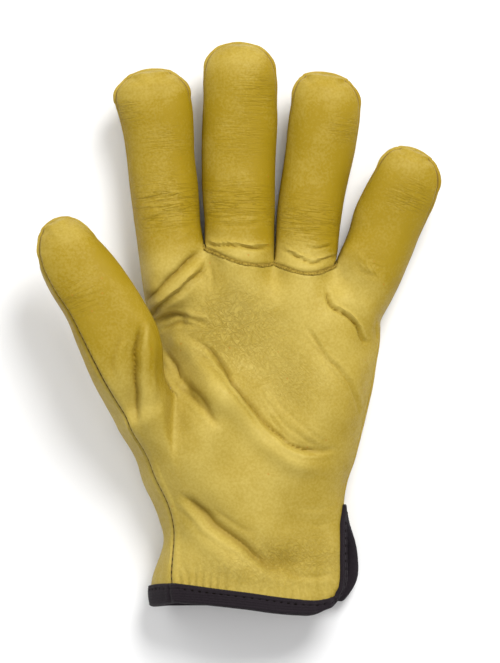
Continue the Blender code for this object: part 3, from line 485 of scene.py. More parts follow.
CREASES = (
    Crease("palm_line", Zone.PALM, 1.45, 1.30, 1.00, -1, trace(
        -270, 786, -206, 754, -146, 723, -90, 683, -47, 637, 30, 569, 111, 503, 227, 451,
        321, 443, 381, 449, 433, 423)),
    Crease("palm_line_short", Zone.PALM, 0.60, 1.20, 0.30, -1, trace(
        -107, 646, -43, 594, 26, 537, 111, 477)),
    Crease("web_line", Zone.PALM, 1.00, 1.40, 0.60, -1, trace(
        -364, 751, -326, 706, -279, 654, -210, 606, -129, 537)),
    Crease("web_line_low", Zone.PALM, 1.00, 1.50, 0.60, -1, trace(
        -347, 683, -296, 637, -249, 606, -180, 563, -94, 503)),
    Crease("wrist_line", Zone.PALM, 1.50, 2.00, 1.00, -1, trace(
        -304, 331, -253, 303, -184, 263, -141, 231, -73, 200, 0, 169, 39, 143, 103, 114,
        163, 106)),
    Crease("wrist_tail", Zone.PALM, 0.50, 1.60, 0.30, -1, trace(
        163, 106, 236, 89, 317, 86, 394, 94)),
    Crease("wrist_cross", Zone.PALM, 0.20, 0.80, 0.10, -1, trace(
        214, 283, 283, 274, 360, 283, 411, 289)),
    Crease("wrist_cross_low", Zone.PALM, 0.20, 0.80, 0.10, -1, trace(
        231, 240, 309, 231, 394, 243)),
    Crease("wrist_spur", Zone.PALM, 0.25, 1.20, 0.10, -1, trace(
        -141, 274, -77, 246, -13, 226, 69, 209)),
    Crease("heel_line", Zone.PALM, 0.85, 1.10, 0.40, 1, trace(
        240, 814, 334, 720, 411, 666, 476, 586, 493, 526)),
    Crease("palm_hatch_a", Zone.PALM, 0.45, 0.75, 0.20, -1, trace(
        60, 620, 94, 583, 167, 520, 253, 474, 339, 449)),
    Crease("palm_hatch_b", Zone.PALM, 0.40, 0.75, 0.20, -1, trace(
        110, 620, 141, 583, 214, 531, 300, 486, 386, 454)),
    Crease("palm_hatch_c", Zone.PALM, 0.40, 0.70, 0.20, -1, trace(
        90, 560, 111, 531, 180, 486, 257, 457)),
    Crease("heel_line_right", Zone.PALM, 0.45, 0.80, 0.25, 1, trace(
        240, 780, 283, 746, 360, 680, 424, 623, 471, 554)),
    Crease("little_line", Zone.PALM, 1.70, 0.90, 0.80, 1, trace(
        339, 923, 351, 891, 364, 863, 399, 843, 433, 829, 476, 794, 497, 760, 544, 751)),
    Crease("little_side", Zone.PALM, 0.60, 1.20, 0.40, 1, trace(
        566, 823, 561, 789, 566, 754)),
    Crease("index_line_a", Zone.PALM, 1.90, 1.60, 1.20, 1, trace(
        -171, 1026, -210, 1000, -240, 983, -283, 957, -347, 917, -411, 883, -455, 855)),
    Crease("index_line_b", Zone.PALM, 1.50, 1.50, 0.80, -1, trace(
        -167, 997, -184, 963, -240, 931, -283, 900, -330, 880, -373, 857, -407, 829, -450, 800)),
    Crease("index_line_b2", Zone.PALM, 0.60, 1.10, 0.30, -1, trace(
        -171, 983, -197, 946, -240, 917, -283, 889)),
    Crease("pocket_deep", Zone.PALM, 1.10, 1.30, 0.80, 1, trace(
        -403, 803, -390, 809, -356, 823, -313, 831, -279, 829, -231, 820, -150, 800)),
    Crease("pocket_low", Zone.PALM, 0.90, 1.20, 0.60, 1, trace(
        -381, 786, -330, 800, -300, 809, -266, 809, -190, 800)),
    Crease("knuckle_fan_1", Zone.PALM, 0.50, 1.20, 0.20, 1, trace(
        -163, 983, -146, 943, -150, 897)),
    Crease("knuckle_fan_2", Zone.PALM, 0.40, 1.10, 0.20, 1, trace(
        -180, 954, -171, 914, -184, 874)),
    Crease("thumb_fold", Zone.THUMB, 1.80, 1.25, 0.90, 1, trace(
        -441, 829, -459, 751, -467, 683, -463, 614, -467, 554, -471, 514)),
    Crease("thumb_fold_side", Zone.THUMB, 0.60, 1.40, 0.40, 1, trace(
        -527, 771, -536, 760, -561, 706, -574, 651)),
    Crease("thumb_crease", Zone.THUMB, 0.50, 1.20, 0.30, -1, trace(
        -411, 789, -407, 726, -411, 657, -403, 594)),
    Crease("middle_roll", Zone.MIDDLE, 1.80, 0.85, 1.20, 1, trace(
        -195, 1050, -163, 1037, -120, 1026, -69, 1029, 0, 1023, 51, 1021, 103, 1026, 140, 1034)),
    Crease("middle_tuck", Zone.MIDDLE, 1.20, 0.80, 0.50, -1, trace(
        -176, 1037, -146, 1029, -111, 1029)),
    Crease("middle_cross", Zone.MIDDLE, 0.50, 1.20, 0.30, 1, trace(
        -129, 1097, -60, 1086, 26, 1091, 86, 1106)),
    Crease("ring_roll", Zone.RING, 1.70, 0.85, 1.10, 1, trace(
        140, 1024, 167, 1014, 236, 991, 283, 980, 326, 986, 377, 997, 410, 1006)),
    Crease("ring_roll_high", Zone.RING, 0.70, 0.80, 0.50, 1, trace(
        231, 1037, 261, 1026, 317, 1023, 386, 1031)),
    Crease("ring_cross", Zone.RING, 0.40, 1.20, 0.30, 1, trace(
        176, 1080, 253, 1066, 339, 1074)),
    Crease("little_cross", Zone.LITTLE, 0.70, 1.30, 0.40, 1, trace(
        454, 983, 506, 954, 574, 943)),
    Crease("little_cross_low", Zone.LITTLE, 0.60, 1.30, 0.40, 1, trace(
        416, 926, 471, 891, 549, 874)),
    Crease("index_cross", Zone.INDEX, 0.60, 1.20, 0.30, 1, trace(
        -471, 1151, -407, 1166, -369, 1174, -304, 1171, -231, 1157)),
    Crease("index_cross_low", Zone.INDEX, 0.50, 1.20, 0.30, 1, trace(
        -429, 1091, -377, 1111, -317, 1126, -240, 1129)),
)


def smooth(value: Array | float) -> Array:
    """Eases 0 to 1 with flat ends: three t squared less two t cubed."""
    value = np.clip(value, 0.0, 1.0)
    return value * value * (3.0 - 2.0 * value)


def read(rows: Sequence[NamedTuple], column: str, at: Array | float) -> Array:
    """Reads a table's column on a smooth curve through its rows.

    Args:
        rows: the table, sorted by its first column.
        column: the name of the column to read.
        at: the places to read, in the first column's unit.

    Returns:
        The cubic Hermite curve's values, with slopes by central differences.
    """
    places = np.array([row[0] for row in rows])
    values = np.array([getattr(row, column) for row in rows])
    slopes = np.gradient(values, places)
    at = np.clip(at, places[0], places[-1])
    cell = np.clip(np.searchsorted(places, at) - 1, 0, len(places) - 2)
    span = places[cell + 1] - places[cell]
    t = (at - places[cell]) / span
    first = (1 + 2 * t) * (1 - t) ** 2 * values[cell] + t * (1 - t) ** 2 * span * slopes[cell]
    last = t * t * (3 - 2 * t) * values[cell + 1]
    return first + last + t * t * (t - 1) * span * slopes[cell + 1]


def unit(vectors: Array) -> Array:
    """Vectors divided by their lengths, row by row."""
    return vectors / np.maximum(np.linalg.norm(vectors, axis=-1, keepdims=True), 1e-12)


def rows_needed(length: float) -> int:
    """Number of cage cells along a stretch of this length."""
    return max(2, int(round(length / SIZES.row_step)))


@dataclass
class Cage:
    """The glove's leather as a coarse branching tube: a wrist loop that parts into digits.

    A row of values is x, y, z and the point's membership of the thumb and the four fingers.
    """

    values: list[Array] = field(default_factory=list)
    faces: list[tuple[int, int, int, int]] = field(default_factory=list)
    panels: list[int] = field(default_factory=list)
    wrist_ids: list[list[int]] = field(default_factory=list)
    seam: int = 0
    lining_cells: list[int] = field(default_factory=list)

    def add(self, points: Array, zone: Zone = Zone.PALM) -> list[int]:
        """Adds points that belong to a zone and returns their ids."""
        first = len(self.values)
        for point in points:
            row = np.zeros(COLUMNS)
            row[:3] = point
            if zone is not Zone.PALM:
                row[zone.value] = 1.0
            self.values.append(row)
        return list(range(first, len(self.values)))

    def place(self, ids: Sequence[int]) -> Array:
        """The coordinates of some points."""
        return np.array([self.values[i][:3] for i in ids])

    def band(self, low: Sequence[int], high: Sequence[int], panels: Sequence[Panel]) -> None:
        """Adds the quads between two loops of equal count."""
        count = len(low)
        for cell in range(count):
            after = (cell + 1) % count
            self.faces.append((low[cell], low[after], high[after], high[cell]))
            self.panels.append(PANELS.index(panels[cell]))

    @staticmethod
    def loop_panels(front: Panel, cells: int) -> list[Panel]:
        """The panel of each cell of a loop: its front's between the seams, the rest the back's."""
        return [front] * (cells + 2) + [Panel.BACK] * (cells + 4)

    @staticmethod
    def digit_loop(zone: Zone, share: float) -> Array:
        """A loop round a digit, from its left seam over the front, and back behind.

        The section is a superellipse: cosine and sine to a power under 1, with the digit's
        reach to each side; its root is skewed and bowed along the digit's axis.
        """
        digit = DIGITS[zone]
        thumb = zone is Zone.THUMB
        width = SIZES.thumb_width if thumb else SIZES.finger_width
        depth = SIZES.thumb_depth if thumb else SIZES.finger_depth
        seam_left = math.radians(180 - np.interp(share, (0, 1), digit.seam_left))
        seam_right = math.radians(np.interp(share, (0, 1), digit.seam_right))
        low_right, low_left = (math.radians(angle) for angle in LOW_CORNERS)
        front = np.linspace(0.14, 0.86, SIZES.cells + 1)
        angles = [seam_left]
        angles += list(seam_left + (seam_right - seam_left) * front)
        angles += [seam_right, 0.5 * (seam_right + low_right)]
        angles += list(np.linspace(low_right, low_left - 2 * math.pi, SIZES.cells + 1))
        angles += [0.5 * (seam_left + low_left) - 2 * math.pi]
        turn = np.array(angles)
        across = np.sign(np.cos(turn)) * np.abs(np.cos(turn)) ** SECTION_POWER
        height = np.sign(np.sin(turn)) * np.abs(np.sin(turn)) ** SECTION_POWER
        rows = digit.sections
        reach = np.where(across > 0, read(rows, "right", share), read(rows, "left", share)) * width
        bottom = read(rows, "bottom", share) * depth
        top = read(rows, "top", share) * depth
        fade = 1.0 - smooth(share / 0.5)
        shift = digit.skew * width * across * fade
        bow = (1 - across ** 2) * np.where(height > 0, 1.0, 0.0)
        shift = shift - digit.bow * width * bow * fade
        length = share * digit.length + shift
        plan = digit.root + np.outer(length, digit.axis) + np.outer(across * reach, digit.over)
        return np.column_stack((plan, 0.5 * (bottom + top) + 0.5 * (top - bottom) * height))

    @staticmethod
    def front_height(across: Array, along: float) -> Array:
        """Height of the hand's front: thenar, hollow and heel joined by a squared sine."""
        side = np.sin(0.5 * math.pi * np.clip(np.abs(across) / 0.6, 0, 1)) ** 2
        thenar, heel = read(HAND_FORM, "thenar", along), read(HAND_FORM, "heel", along)
        hollow = read(HAND_FORM, "hollow", along)
        mound = np.where(across < 0, thenar, heel)
        return (hollow + (mound - hollow) * side) * SIZES.palm_depth

    def hand_loop(self, columns: Array, left: float, right: float, inset: float,
                  y_front: Callable[[Array], Array], y_back: Callable[[Array], Array],
                  along: float, left_side: float) -> Array:
        """A loop round the hand: a flattened oval between two outlines.

        Args:
            columns: the front columns' places across the hand.
            left: the left outline; right: the right outline.
            inset: how far the left seam stands in from the left outline.
            y_front: the front's place along the hand for a place across; y_back: the back's.
            along: the loop's share of the hand's length.
            left_side: the height of the left outline.

        Returns:
            The loop's points: left seam, front, right seam, side, back, left side.
        """
        middle, half = 0.5 * (left + right), 0.5 * (right - left)

        def side_height(across: Array) -> Array:
            """The outline's height on each side."""
            return np.where(across < 0, left_side, SIZES.side_height)

        def front_z(x: Array) -> Array:
            """The front's height: full in the middle, down to the outline on a steep curve."""
            across = np.clip((x - middle) / half, -1, 1)
            fall = (1 - np.abs(across) ** 2.6) ** 0.5
            side = side_height(across)
            return side + (self.front_height(across, along) - side) * fall

        def back_z(x: Array) -> Array:
            """The back's height: flat, up to the outline, lifted at the pinch and the tape."""
            across = np.clip((x - middle) / half, -1, 1)
            rise = side_height(across) * (1 - (1 - np.abs(across) ** 4) ** 0.34)
            rise = np.maximum(0, rise - SIZES.floor_flat)
            lift = SIZES.pinch_lift * read(HAND_FORM, "pinch", along)
            lift = lift * np.clip(1 - across ** 2, 0, 1) ** 0.3
            edge = 1 - smooth((along * SIZES.hand_length - 0.008) / 0.012)
            return rise + lift + (SIZES.binding_thickness + SIZES.tape_gap) * edge

        seam_left, seam_right = left + inset, right - 0.0005
        back_in = 0.055 * SIZES.hand_width
        share = (columns - columns[0]) / (columns[-1] - columns[0])
        back = (left + back_in + (right - left - 2 * back_in) * share)[::-1]
        x = np.concatenate(([seam_left], columns, [seam_right, right], back, [left]))
        z = np.concatenate((front_z(np.array([seam_left])), front_z(columns),
                            front_z(np.array([seam_right])), [SIZES.side_height * 0.8],
                            back_z(back), [left_side]))
        y = np.concatenate(([y_front(seam_left)], y_front(columns),
                            [y_front(seam_right), y_back(right)], y_back(back), [y_back(left)]))
        return np.column_stack((x, y, z))

    def wrist_loop(self, share: float, split: Array) -> Array:
        """A loop of the hand from the cuff (0) to the thumb's split (1)."""
        cells = SIZES.cells
        palm_cells = cells * len(FINGERS)
        length, width = SIZES.hand_length, SIZES.hand_width
        tilt = 0.5 * share ** 2

        def edge_y(side: str) -> Callable[[Array], Array]:
            """The loop's place along the hand on a side, as a function of the place across."""
            def place(x: Array) -> Array:
                """The cuff's edge, moved on by the loop's share and sloped to the split."""
                cuff = read(CUFF_EDGE, side, np.asarray(x) / width) * length
                slope = tilt * np.clip(split[0] - np.asarray(x), 0, None)
                return cuff + (split[1] - cuff) * share - slope
            return place

        along = share * split[1] / length
        left = read(HAND_FORM, "left", along) * width
        left_along = edge_y("front")(left) / length
        left = read(HAND_FORM, "left", left_along) * width
        right = read(HAND_FORM, "right", along) * width
        inset = read(HAND_FORM, "inset", left_along) * width
        step = (right - left - inset) / (cells + palm_cells + 1.4)
        even = left + inset + step * (cells + 0.7)
        split_x = even + (split[0] - even) * smooth(share)
        thumb_x = np.linspace(left + inset + 0.7 * step, split_x, cells + 1)
        palm_x = np.linspace(split_x, right - 0.7 * step, palm_cells + 1)
        return self.hand_loop(np.concatenate((thumb_x, palm_x[1:])), left, right, inset,
                              edge_y("front"), edge_y("back"), along, SIZES.side_height)

    def palm_loop(self, share: float, split: Array, knuckle: Array) -> Array:
        """A loop of the palm from the thumb's split (0) to the finger roots (1)."""
        palm_cells = SIZES.cells * len(FINGERS)
        length, width = SIZES.hand_length, SIZES.hand_width
        along = (split[1] + share * (length - split[1])) / length
        left = read(PALM_LEFT, "left", share) * width
        right_y = split[1] + share * (knuckle[palm_cells + 2, 1] - split[1])
        right = read(HAND_FORM, "right", right_y / length) * width
        step = (right - left) / (palm_cells + 2)
        even = np.linspace(left + 0.9 * step, right - 0.7 * step, palm_cells + 1)
        root_left, root_right = knuckle[-1, 0], knuckle[palm_cells + 3, 0]
        root_share = (knuckle[1:palm_cells + 2, 0] - root_left) / (root_right - root_left)
        columns = even + (left + (right - left) * root_share - even) * smooth(share)

        def level(x: Array) -> Array:
            """The split's place along the hand, whatever the place across."""
            return np.full(np.shape(x), split[1])

        rise = SIZES.side_height - SIZES.web_height
        left_side = SIZES.web_height + rise * smooth((share - 0.6) / 0.4)
        loop = self.hand_loop(columns, left, right, 0.3 * step, level, level, along, left_side)
        loop[:, 1] = split[1] + (knuckle[:, 1] - split[1]) * share
        return loop

    @staticmethod
    def finger_roots() -> dict[Zone, Array]:
        """Finger root loops, with the points that neighbouring fingers share averaged."""
        cells = SIZES.cells
        roots = {zone: Cage.digit_loop(zone, 0.0) for zone in FINGERS}
        right_side = [cells + 1, cells + 2, cells + 3, cells + 4]
        left_side = [1, 0, 2 * cells + 5, 2 * cells + 4]
        for first, second in zip(FINGERS, FINGERS[1:]):
            shared = 0.5 * (roots[first][right_side] + roots[second][left_side])
            roots[first][right_side] = shared
            roots[second][left_side] = shared
        return roots

    @staticmethod
    def knuckle_loop(roots: dict[Zone, Array]) -> Array:
        """The loop round all four finger roots."""
        cells = SIZES.cells
        front = [roots[Zone.INDEX][0], roots[Zone.INDEX][1]]
        back: list[Array] = []
        for zone in FINGERS:
            front += list(roots[zone][2:cells + 2])
            back += list(roots[zone][cells + 4:2 * cells + 4][::-1])
        ends = [roots[Zone.LITTLE][cells + 2], roots[Zone.LITTLE][cells + 3]]
        last = [roots[Zone.INDEX][2 * cells + 4], roots[Zone.INDEX][2 * cells + 5]]
        return np.array(front + ends + back[::-1] + last)

    @staticmethod
    def round_corner(points: Array, corner_x: float, corner_y: float) -> Array:
        """Rounds the cuff's square corner at the vent: a square grid mapped onto a disc's."""
        size = SIZES.vent_corner
        a = np.clip((points[:, 0] - (corner_x - size)) / size, 0, 1.1)
        b = np.clip(((corner_y + size) - points[:, 1]) / size, 0, 1.1)
        points[:, 0] -= size * a * (1 - np.sqrt(1 - 0.5 * b ** 2))
        points[:, 1] += size * b * (1 - np.sqrt(1 - 0.5 * a ** 2))
        return points

    def grow_digit(self, zone: Zone, root_ids: list[int], first: Array) -> None:
        """Grows a digit's tube from its root loop and closes its tip."""
        digit = DIGITS[zone]
        own_front = {Zone.MIDDLE: Panel.MIDDLE, Zone.RING: Panel.RING}
        front = own_front.get(zone, Panel.PALM)
        panels = self.loop_panels(front, SIZES.cells)
        root = self.digit_loop(zone, 0.0)
        count = max(3, int(round(0.90 * digit.length / SIZES.row_step)))
        low = root_ids
        for share in list(np.linspace(0, 0.90, count + 1)[1:]) + [0.94, 0.968, 0.986]:
            points = self.digit_loop(zone, share)
            fade = 1 - smooth(share * digit.length / SIZES.crotch_fade)
            high = self.add(points + fade * (first - root), zone)
            self.band(low, high, panels)
            low = high
        self.close_tip(zone, low, front)

    def close_tip(self, zone: Zone, loop: list[int], front: Panel) -> None:
        """Closes a tip with a grid: one row of cells before the seam and two behind it."""
        cells = SIZES.cells
        ring = self.place(loop)
        rows = [loop[1:cells + 2]]
        for left, right, place in ((0, cells + 2, 0.62), (2 * cells + 5, cells + 3, 0.34)):
            share = np.linspace(0, 1, cells + 1)[1:-1, None]
            inner = ring[left] + (ring[right] - ring[left]) * share
            top = ring[1:cells + 2][1:-1]
            bottom = ring[cells + 4:2 * cells + 5][::-1][1:-1]
            inner[:, 2] = (bottom + (top - bottom) * place)[:, 2]
            inner[:, :2] = self.tip_line(DIGITS[zone], inner[:, :2])
            rows.append([loop[left]] + self.add(inner, zone) + [loop[right]])
        rows.append(loop[cells + 4:2 * cells + 5][::-1])
        for row, (low, high) in enumerate(zip(rows, rows[1:])):
            for cell in range(cells):
                self.faces.append((low[cell], low[cell + 1], high[cell + 1], high[cell]))
                self.panels.append(PANELS.index(front if row == 0 else Panel.BACK))

    @staticmethod
    def tip_line(digit: Digit, plan: Array) -> Array:
        """Moves plan points along a digit's axis to its tip, on a shallow parabola."""
        across = (plan - digit.root) @ digit.over
        side = across - 0.5 * (across.max() + across.min())
        reach = digit.length * (1 - 0.010 * (side / side.max()) ** 2)
        return digit.root + np.outer(reach, digit.axis) + np.outer(across, digit.over)

    def vent_row(self, loop: Array, first: Array) -> tuple[Array, Array | None]:
        """Opens a wrist loop at the vent: the front edge lifts and the back edge flares out."""
        seam = self.seam
        back_edge = loop[seam].copy()
        is_open = loop[seam][1] < SIZES.vent_length
        if is_open:
            share = smooth(2.2 * (1 - loop[seam][1] / SIZES.vent_length))
            lift = 0.5 * SIZES.vent_slit + 0.2 * SIZES.side_height * share
            loop[seam][2] += lift
            loop[seam - 1][2] += 0.65 * lift
            loop[seam - 2][2] += 0.25 * lift
            back_edge[2] -= 0.5 * SIZES.vent_slit
            flare, side = SIZES.vent_flare, SIZES.side_height
            back_edge += np.array((flare, 0, -0.65 * side)) * share
            loop[seam + 1] += np.array((0.50 * flare, 0, -0.60 * side)) * share
        front = self.round_corner(loop[:seam + 1].copy(), first[seam][0], first[seam][1])
        back = np.vstack((back_edge[None], loop[seam + 1:]))
        back = self.round_corner(back, first[seam][0] + SIZES.vent_flare, first[seam + 1][1])
        return np.vstack((front, back[1:])), (back[:1] if is_open else None)

    def build(self) -> Cage:
        """Builds the wrist, palm, fingers and thumb, and returns the cage itself."""
        cells = SIZES.cells
        palm_cells = cells * len(FINGERS)
        thumb_root = self.digit_loop(Zone.THUMB, 0.0)
        split = thumb_root[cells + 1].copy()
        roots = self.finger_roots()
        knuckle = self.knuckle_loop(roots)
        wrist_count = rows_needed(split[1])
        wrist_top = self.wrist_loop(1.0, split)
        palm_first = self.palm_loop(0.0, split, knuckle)
        count = len(wrist_top)
        front_split, back_split = cells + 1, count - 2 - cells
        shared = 0.5 * (thumb_root[cells + 1:cells + 5] + palm_first[[1, 0, -1, -2]])
        target = wrist_top.copy()
        target[:front_split] = thumb_root[:front_split]
        target[back_split + 1:] = thumb_root[cells + 5:]
        target[front_split], target[back_split] = shared[0], shared[3]
        target[front_split + 1:back_split] = palm_first[2:-2]

        self.seam = cells * (len(FINGERS) + 1) + 2
        loops = []
        for row in range(wrist_count + 1):
            share = row / wrist_count
            fade = 1 - smooth((1 - share) * split[1] / (1.6 * SIZES.crotch_fade))
            loops.append(self.wrist_loop(share, split) + fade * (target - wrist_top))
        first = loops[0].copy()
        doubles: list[int] = []
        for loop in loops:
            points, double = self.vent_row(loop, first)
            ids = self.add(points)
            self.wrist_ids.append(ids)
            doubles.append(ids[self.seam] if double is None else self.add(double)[0])
        self.add_wrist_faces(doubles)

        top = self.wrist_ids[-1]
        crotch = self.add(shared[1:3])
        low = [crotch[0]] + top[front_split:back_split + 1] + [crotch[1]]
        base = self.place(low)
        run = SIZES.hand_length - split[1]
        palm_count = rows_needed(run)
        palm_last = self.palm_loop(1.0, split, knuckle)
        for row in range(1, palm_count + 1):
            share = row / palm_count
            loop = self.palm_loop(share, split, knuckle)
            near = 1 - smooth(share * run / SIZES.crotch_fade)
            far = 1 - smooth((1 - share) * run / SIZES.crotch_fade)
            high = self.add(loop + near * (base - palm_first) + far * (knuckle - palm_last))
            self.band(low, high, self.loop_panels(Panel.PALM, palm_cells))
            low = high

        crotches = {zone: self.add(roots[zone][[cells + 2, cells + 3]]) for zone in FINGERS[:-1]}
        back_first = palm_cells + 4
        for place, zone in enumerate(FINGERS):
            front = [low[1 + place * cells + i] for i in range(cells + 1)]
            back = [low[back_first + palm_cells - place * cells - i] for i in range(cells + 1)]
            left = crotches[FINGERS[place - 1]] if place else [low[0], low[-1]]
            right = crotches.get(zone, [low[palm_cells + 2], low[palm_cells + 3]])
            ids = [left[0]] + front + [right[0], right[1]] + back[::-1] + [left[1]]
            self.grow_digit(zone, ids, roots[zone])
        thumb_ids = top[:front_split + 1] + crotch + top[back_split:]
        self.grow_digit(Zone.THUMB, thumb_ids, self.place(thumb_ids))
        return self

    def add_wrist_faces(self, doubles: list[int]) -> None:
        """Adds the wrist's quads, split along the vent, and notes those that the fleece backs."""
        count = len(self.wrist_ids[0])
        cells = SIZES.cells
        panels = self.loop_panels(Panel.PALM, cells * (len(FINGERS) + 1))
        seam = self.seam
        for row in range(len(self.wrist_ids) - 1):
            low, high = self.wrist_ids[row], self.wrist_ids[row + 1]
            is_open = doubles[row] != low[seam] or doubles[row + 1] != high[seam]
            reaches = self.values[high[seam]][1] <= SIZES.lining_depth + SIZES.row_step
            for cell in range(count):
                after = (cell + 1) % count
                a, b, c, d = low[cell], low[after], high[after], high[cell]
                if cell == seam:
                    a, d = doubles[row], doubles[row + 1]
                near_vent = is_open and cell in (seam - 2, seam - 1, seam)
                if row and reaches and not near_vent:
                    self.lining_cells.append(len(self.faces))
                self.faces.append((a, b, c, d))
                self.panels.append(PANELS.index(panels[cell]))


def subdivide(values: Array, faces: Array) -> tuple[Array, Array]:
    """One Catmull-Clark step on a quad mesh with open edges.

    A face point is its corners' mean. An edge point is the mean of its ends and its two face
    points, or of its ends on an open edge. An old point of n faces becomes the mean of its
    face points, twice its edge middles and n - 3 times itself; on an open edge it is three
    quarters itself and an eighth of each neighbour. Old points keep their ids, and each
    face's four children follow each other.

    Args:
        values: rows of coordinates and other columns.
        faces: quads as rows of ids.

    Returns:
        The new values and the new faces.
    """
    count = len(values)
    pairs = np.stack((faces, np.roll(faces, -1, axis=1)), axis=2).reshape(-1, 2)
    key = pairs.min(axis=1).astype(np.int64) * count + pairs.max(axis=1)
    _, first, inverse, uses = np.unique(key, return_index=True, return_inverse=True,
                                        return_counts=True)
    inverse = inverse.reshape(-1)
    ends = pairs[first]
    face_points = values[faces].mean(axis=1)
    middles = values[ends].mean(axis=1)
    by_edge = np.zeros_like(middles)
    np.add.at(by_edge, inverse, face_points[np.repeat(np.arange(len(faces)), 4)])
    inner = (uses == 2)[:, None]
    edge_points = np.where(inner, 0.5 * middles + 0.25 * by_edge, middles)

    valence = np.bincount(faces.ravel(), minlength=count)[:, None].astype(float)
    edge_count = np.bincount(ends.ravel(), minlength=count)[:, None].astype(float)
    face_sum, middle_sum = np.zeros_like(values), np.zeros_like(values)
    for corner in range(4):
        np.add.at(face_sum, faces[:, corner], face_points)
    open_ends = ends[uses == 1]
    open_sum = np.zeros_like(values)
    for end in range(2):
        np.add.at(middle_sum, ends[:, end], middles)
        np.add.at(open_sum, open_ends[:, end], middles[uses == 1])
    safe = np.maximum(valence, 1)
    old = face_sum / safe + 2 * middle_sum / np.maximum(edge_count, 1) + (safe - 3) * values
    old = old / safe
    is_open = np.zeros(count, bool)
    is_open[open_ends.ravel()] = True
    old = np.where(is_open[:, None], 0.5 * values + 0.25 * open_sum, old)

    edge_ids = count + inverse.reshape(-1, 4)
    centre_ids = count + len(ends) + np.arange(len(faces))
    children = [np.stack((faces[:, c], edge_ids[:, c], centre_ids, edge_ids[:, c - 1]), axis=1)
                for c in range(4)]
    return (np.vstack((old, edge_points, face_points)),
            np.stack(children, axis=1).reshape(-1, 4))


def refine(values: Array, faces: Array, steps: int) -> tuple[Array, Array]:
    """Several Catmull-Clark steps in a row."""
    for _ in range(steps):
        values, faces = subdivide(values, faces)
    return values, faces


def through_points(values: Array, faces: Array) -> Array:
    """Control values whose refined surface passes through the given coordinates."""
    control = values.copy()
    for _ in range(2):
        reached, _ = refine(control, faces, 2)
        control[:, :3] += values[:, :3] - reached[:len(values), :3]
    return control


def point_normals(points: Array, faces: Array) -> Array:
    """Unit normals at the points: the sum of their faces' diagonal cross products."""
    corners = points[faces]
    face_normals = np.cross(corners[:, 2] - corners[:, 0], corners[:, 3] - corners[:, 1])
    normals = np.zeros_like(points)
    for corner in range(4):
        np.add.at(normals, faces[:, corner], face_normals)
    return unit(normals)


def ways_in(points: Array, faces: Array) -> Array:
    """For each point, the sum of the ways to the middles of its own quads."""
    centres = points[faces].mean(axis=1)
    ways = np.zeros_like(points)
    for corner in range(4):
        np.add.at(ways, faces[:, corner], centres - points[faces[:, corner]])
    return ways


def tapered(share: Array, start: float, end: float) -> Array:
    """1 along a path, eased to 0 over a share of it at its start and at its end."""
    return smooth(share / start) * smooth((1 - share) / end)


def soft_noise(points: Array, size: float, seed: int) -> Array:
    """Smooth noise from -1 to 1: eased blends between seeded values on a cubic lattice."""
    table = np.random.default_rng(seed).uniform(-1, 1, (32, 32, 32))
    place = points / size
    cell = np.floor(place).astype(int)
    ease = smooth(place - cell)
    total = np.zeros(len(points))
    for corner in range(8):
        offset = np.array((corner & 1, corner >> 1 & 1, corner >> 2 & 1))
        weight = np.prod(np.where(offset, ease, 1 - ease), axis=1)
        at = (cell + offset) % 32
        total += weight * table[at[:, 0], at[:, 1], at[:, 2]]
    return total


def smooth_path(knots: Array, spacing: float) -> Array:
    """A Catmull-Rom curve through plan points, sampled at about the given spacing."""
    padded = np.vstack((2 * knots[0] - knots[1], knots, 2 * knots[-1] - knots[-2]))
    pieces = []
    for before, start, end, after in zip(padded, padded[1:], padded[2:], padded[3:]):
        steps = max(2, int(np.linalg.norm(end - start) / spacing))
        t = np.linspace(0, 1, steps, endpoint=False)[:, None]
        slope_start, slope_end = 0.5 * (end - before), 0.5 * (after - start)
        pieces.append((2 * t ** 3 - 3 * t ** 2 + 1) * start
                      + (t ** 3 - 2 * t ** 2 + t) * slope_start
                      + (3 * t ** 2 - 2 * t ** 3) * end + (t ** 3 - t ** 2) * slope_end)
    return np.vstack(pieces + [knots[-1:]])


def path_distance(plan: Array, path: Array) -> tuple[Array, Array, Array]:
    """Distance from plan points to a path, the side they lie on and their share along it."""
    best = np.full(len(plan), np.inf)
    side = np.zeros(len(plan))
    share = np.zeros(len(plan))
    for number, (start, end) in enumerate(zip(path, path[1:])):
        run = end - start
        t = np.clip(((plan - start) @ run) / (run @ run), 0, 1)
        offset = plan - (start + t[:, None] * run)
        distance = np.hypot(offset[:, 0], offset[:, 1])
        nearer = distance < best
        best = np.where(nearer, distance, best)
        cross = run[0] * offset[:, 1] - run[1] * offset[:, 0]
        side = np.where(nearer, np.sign(cross), side)
        share = np.where(nearer, (number + t) / (len(path) - 1), share)
    return best, side, share


class Patch(NamedTuple):
    """A patch of fine wrinkles: its middle and reach in hand shares, and its strengths."""

    across: float
    along: float
    reach_across: float
    reach_along: float
    crosswise: float
    crackle: float


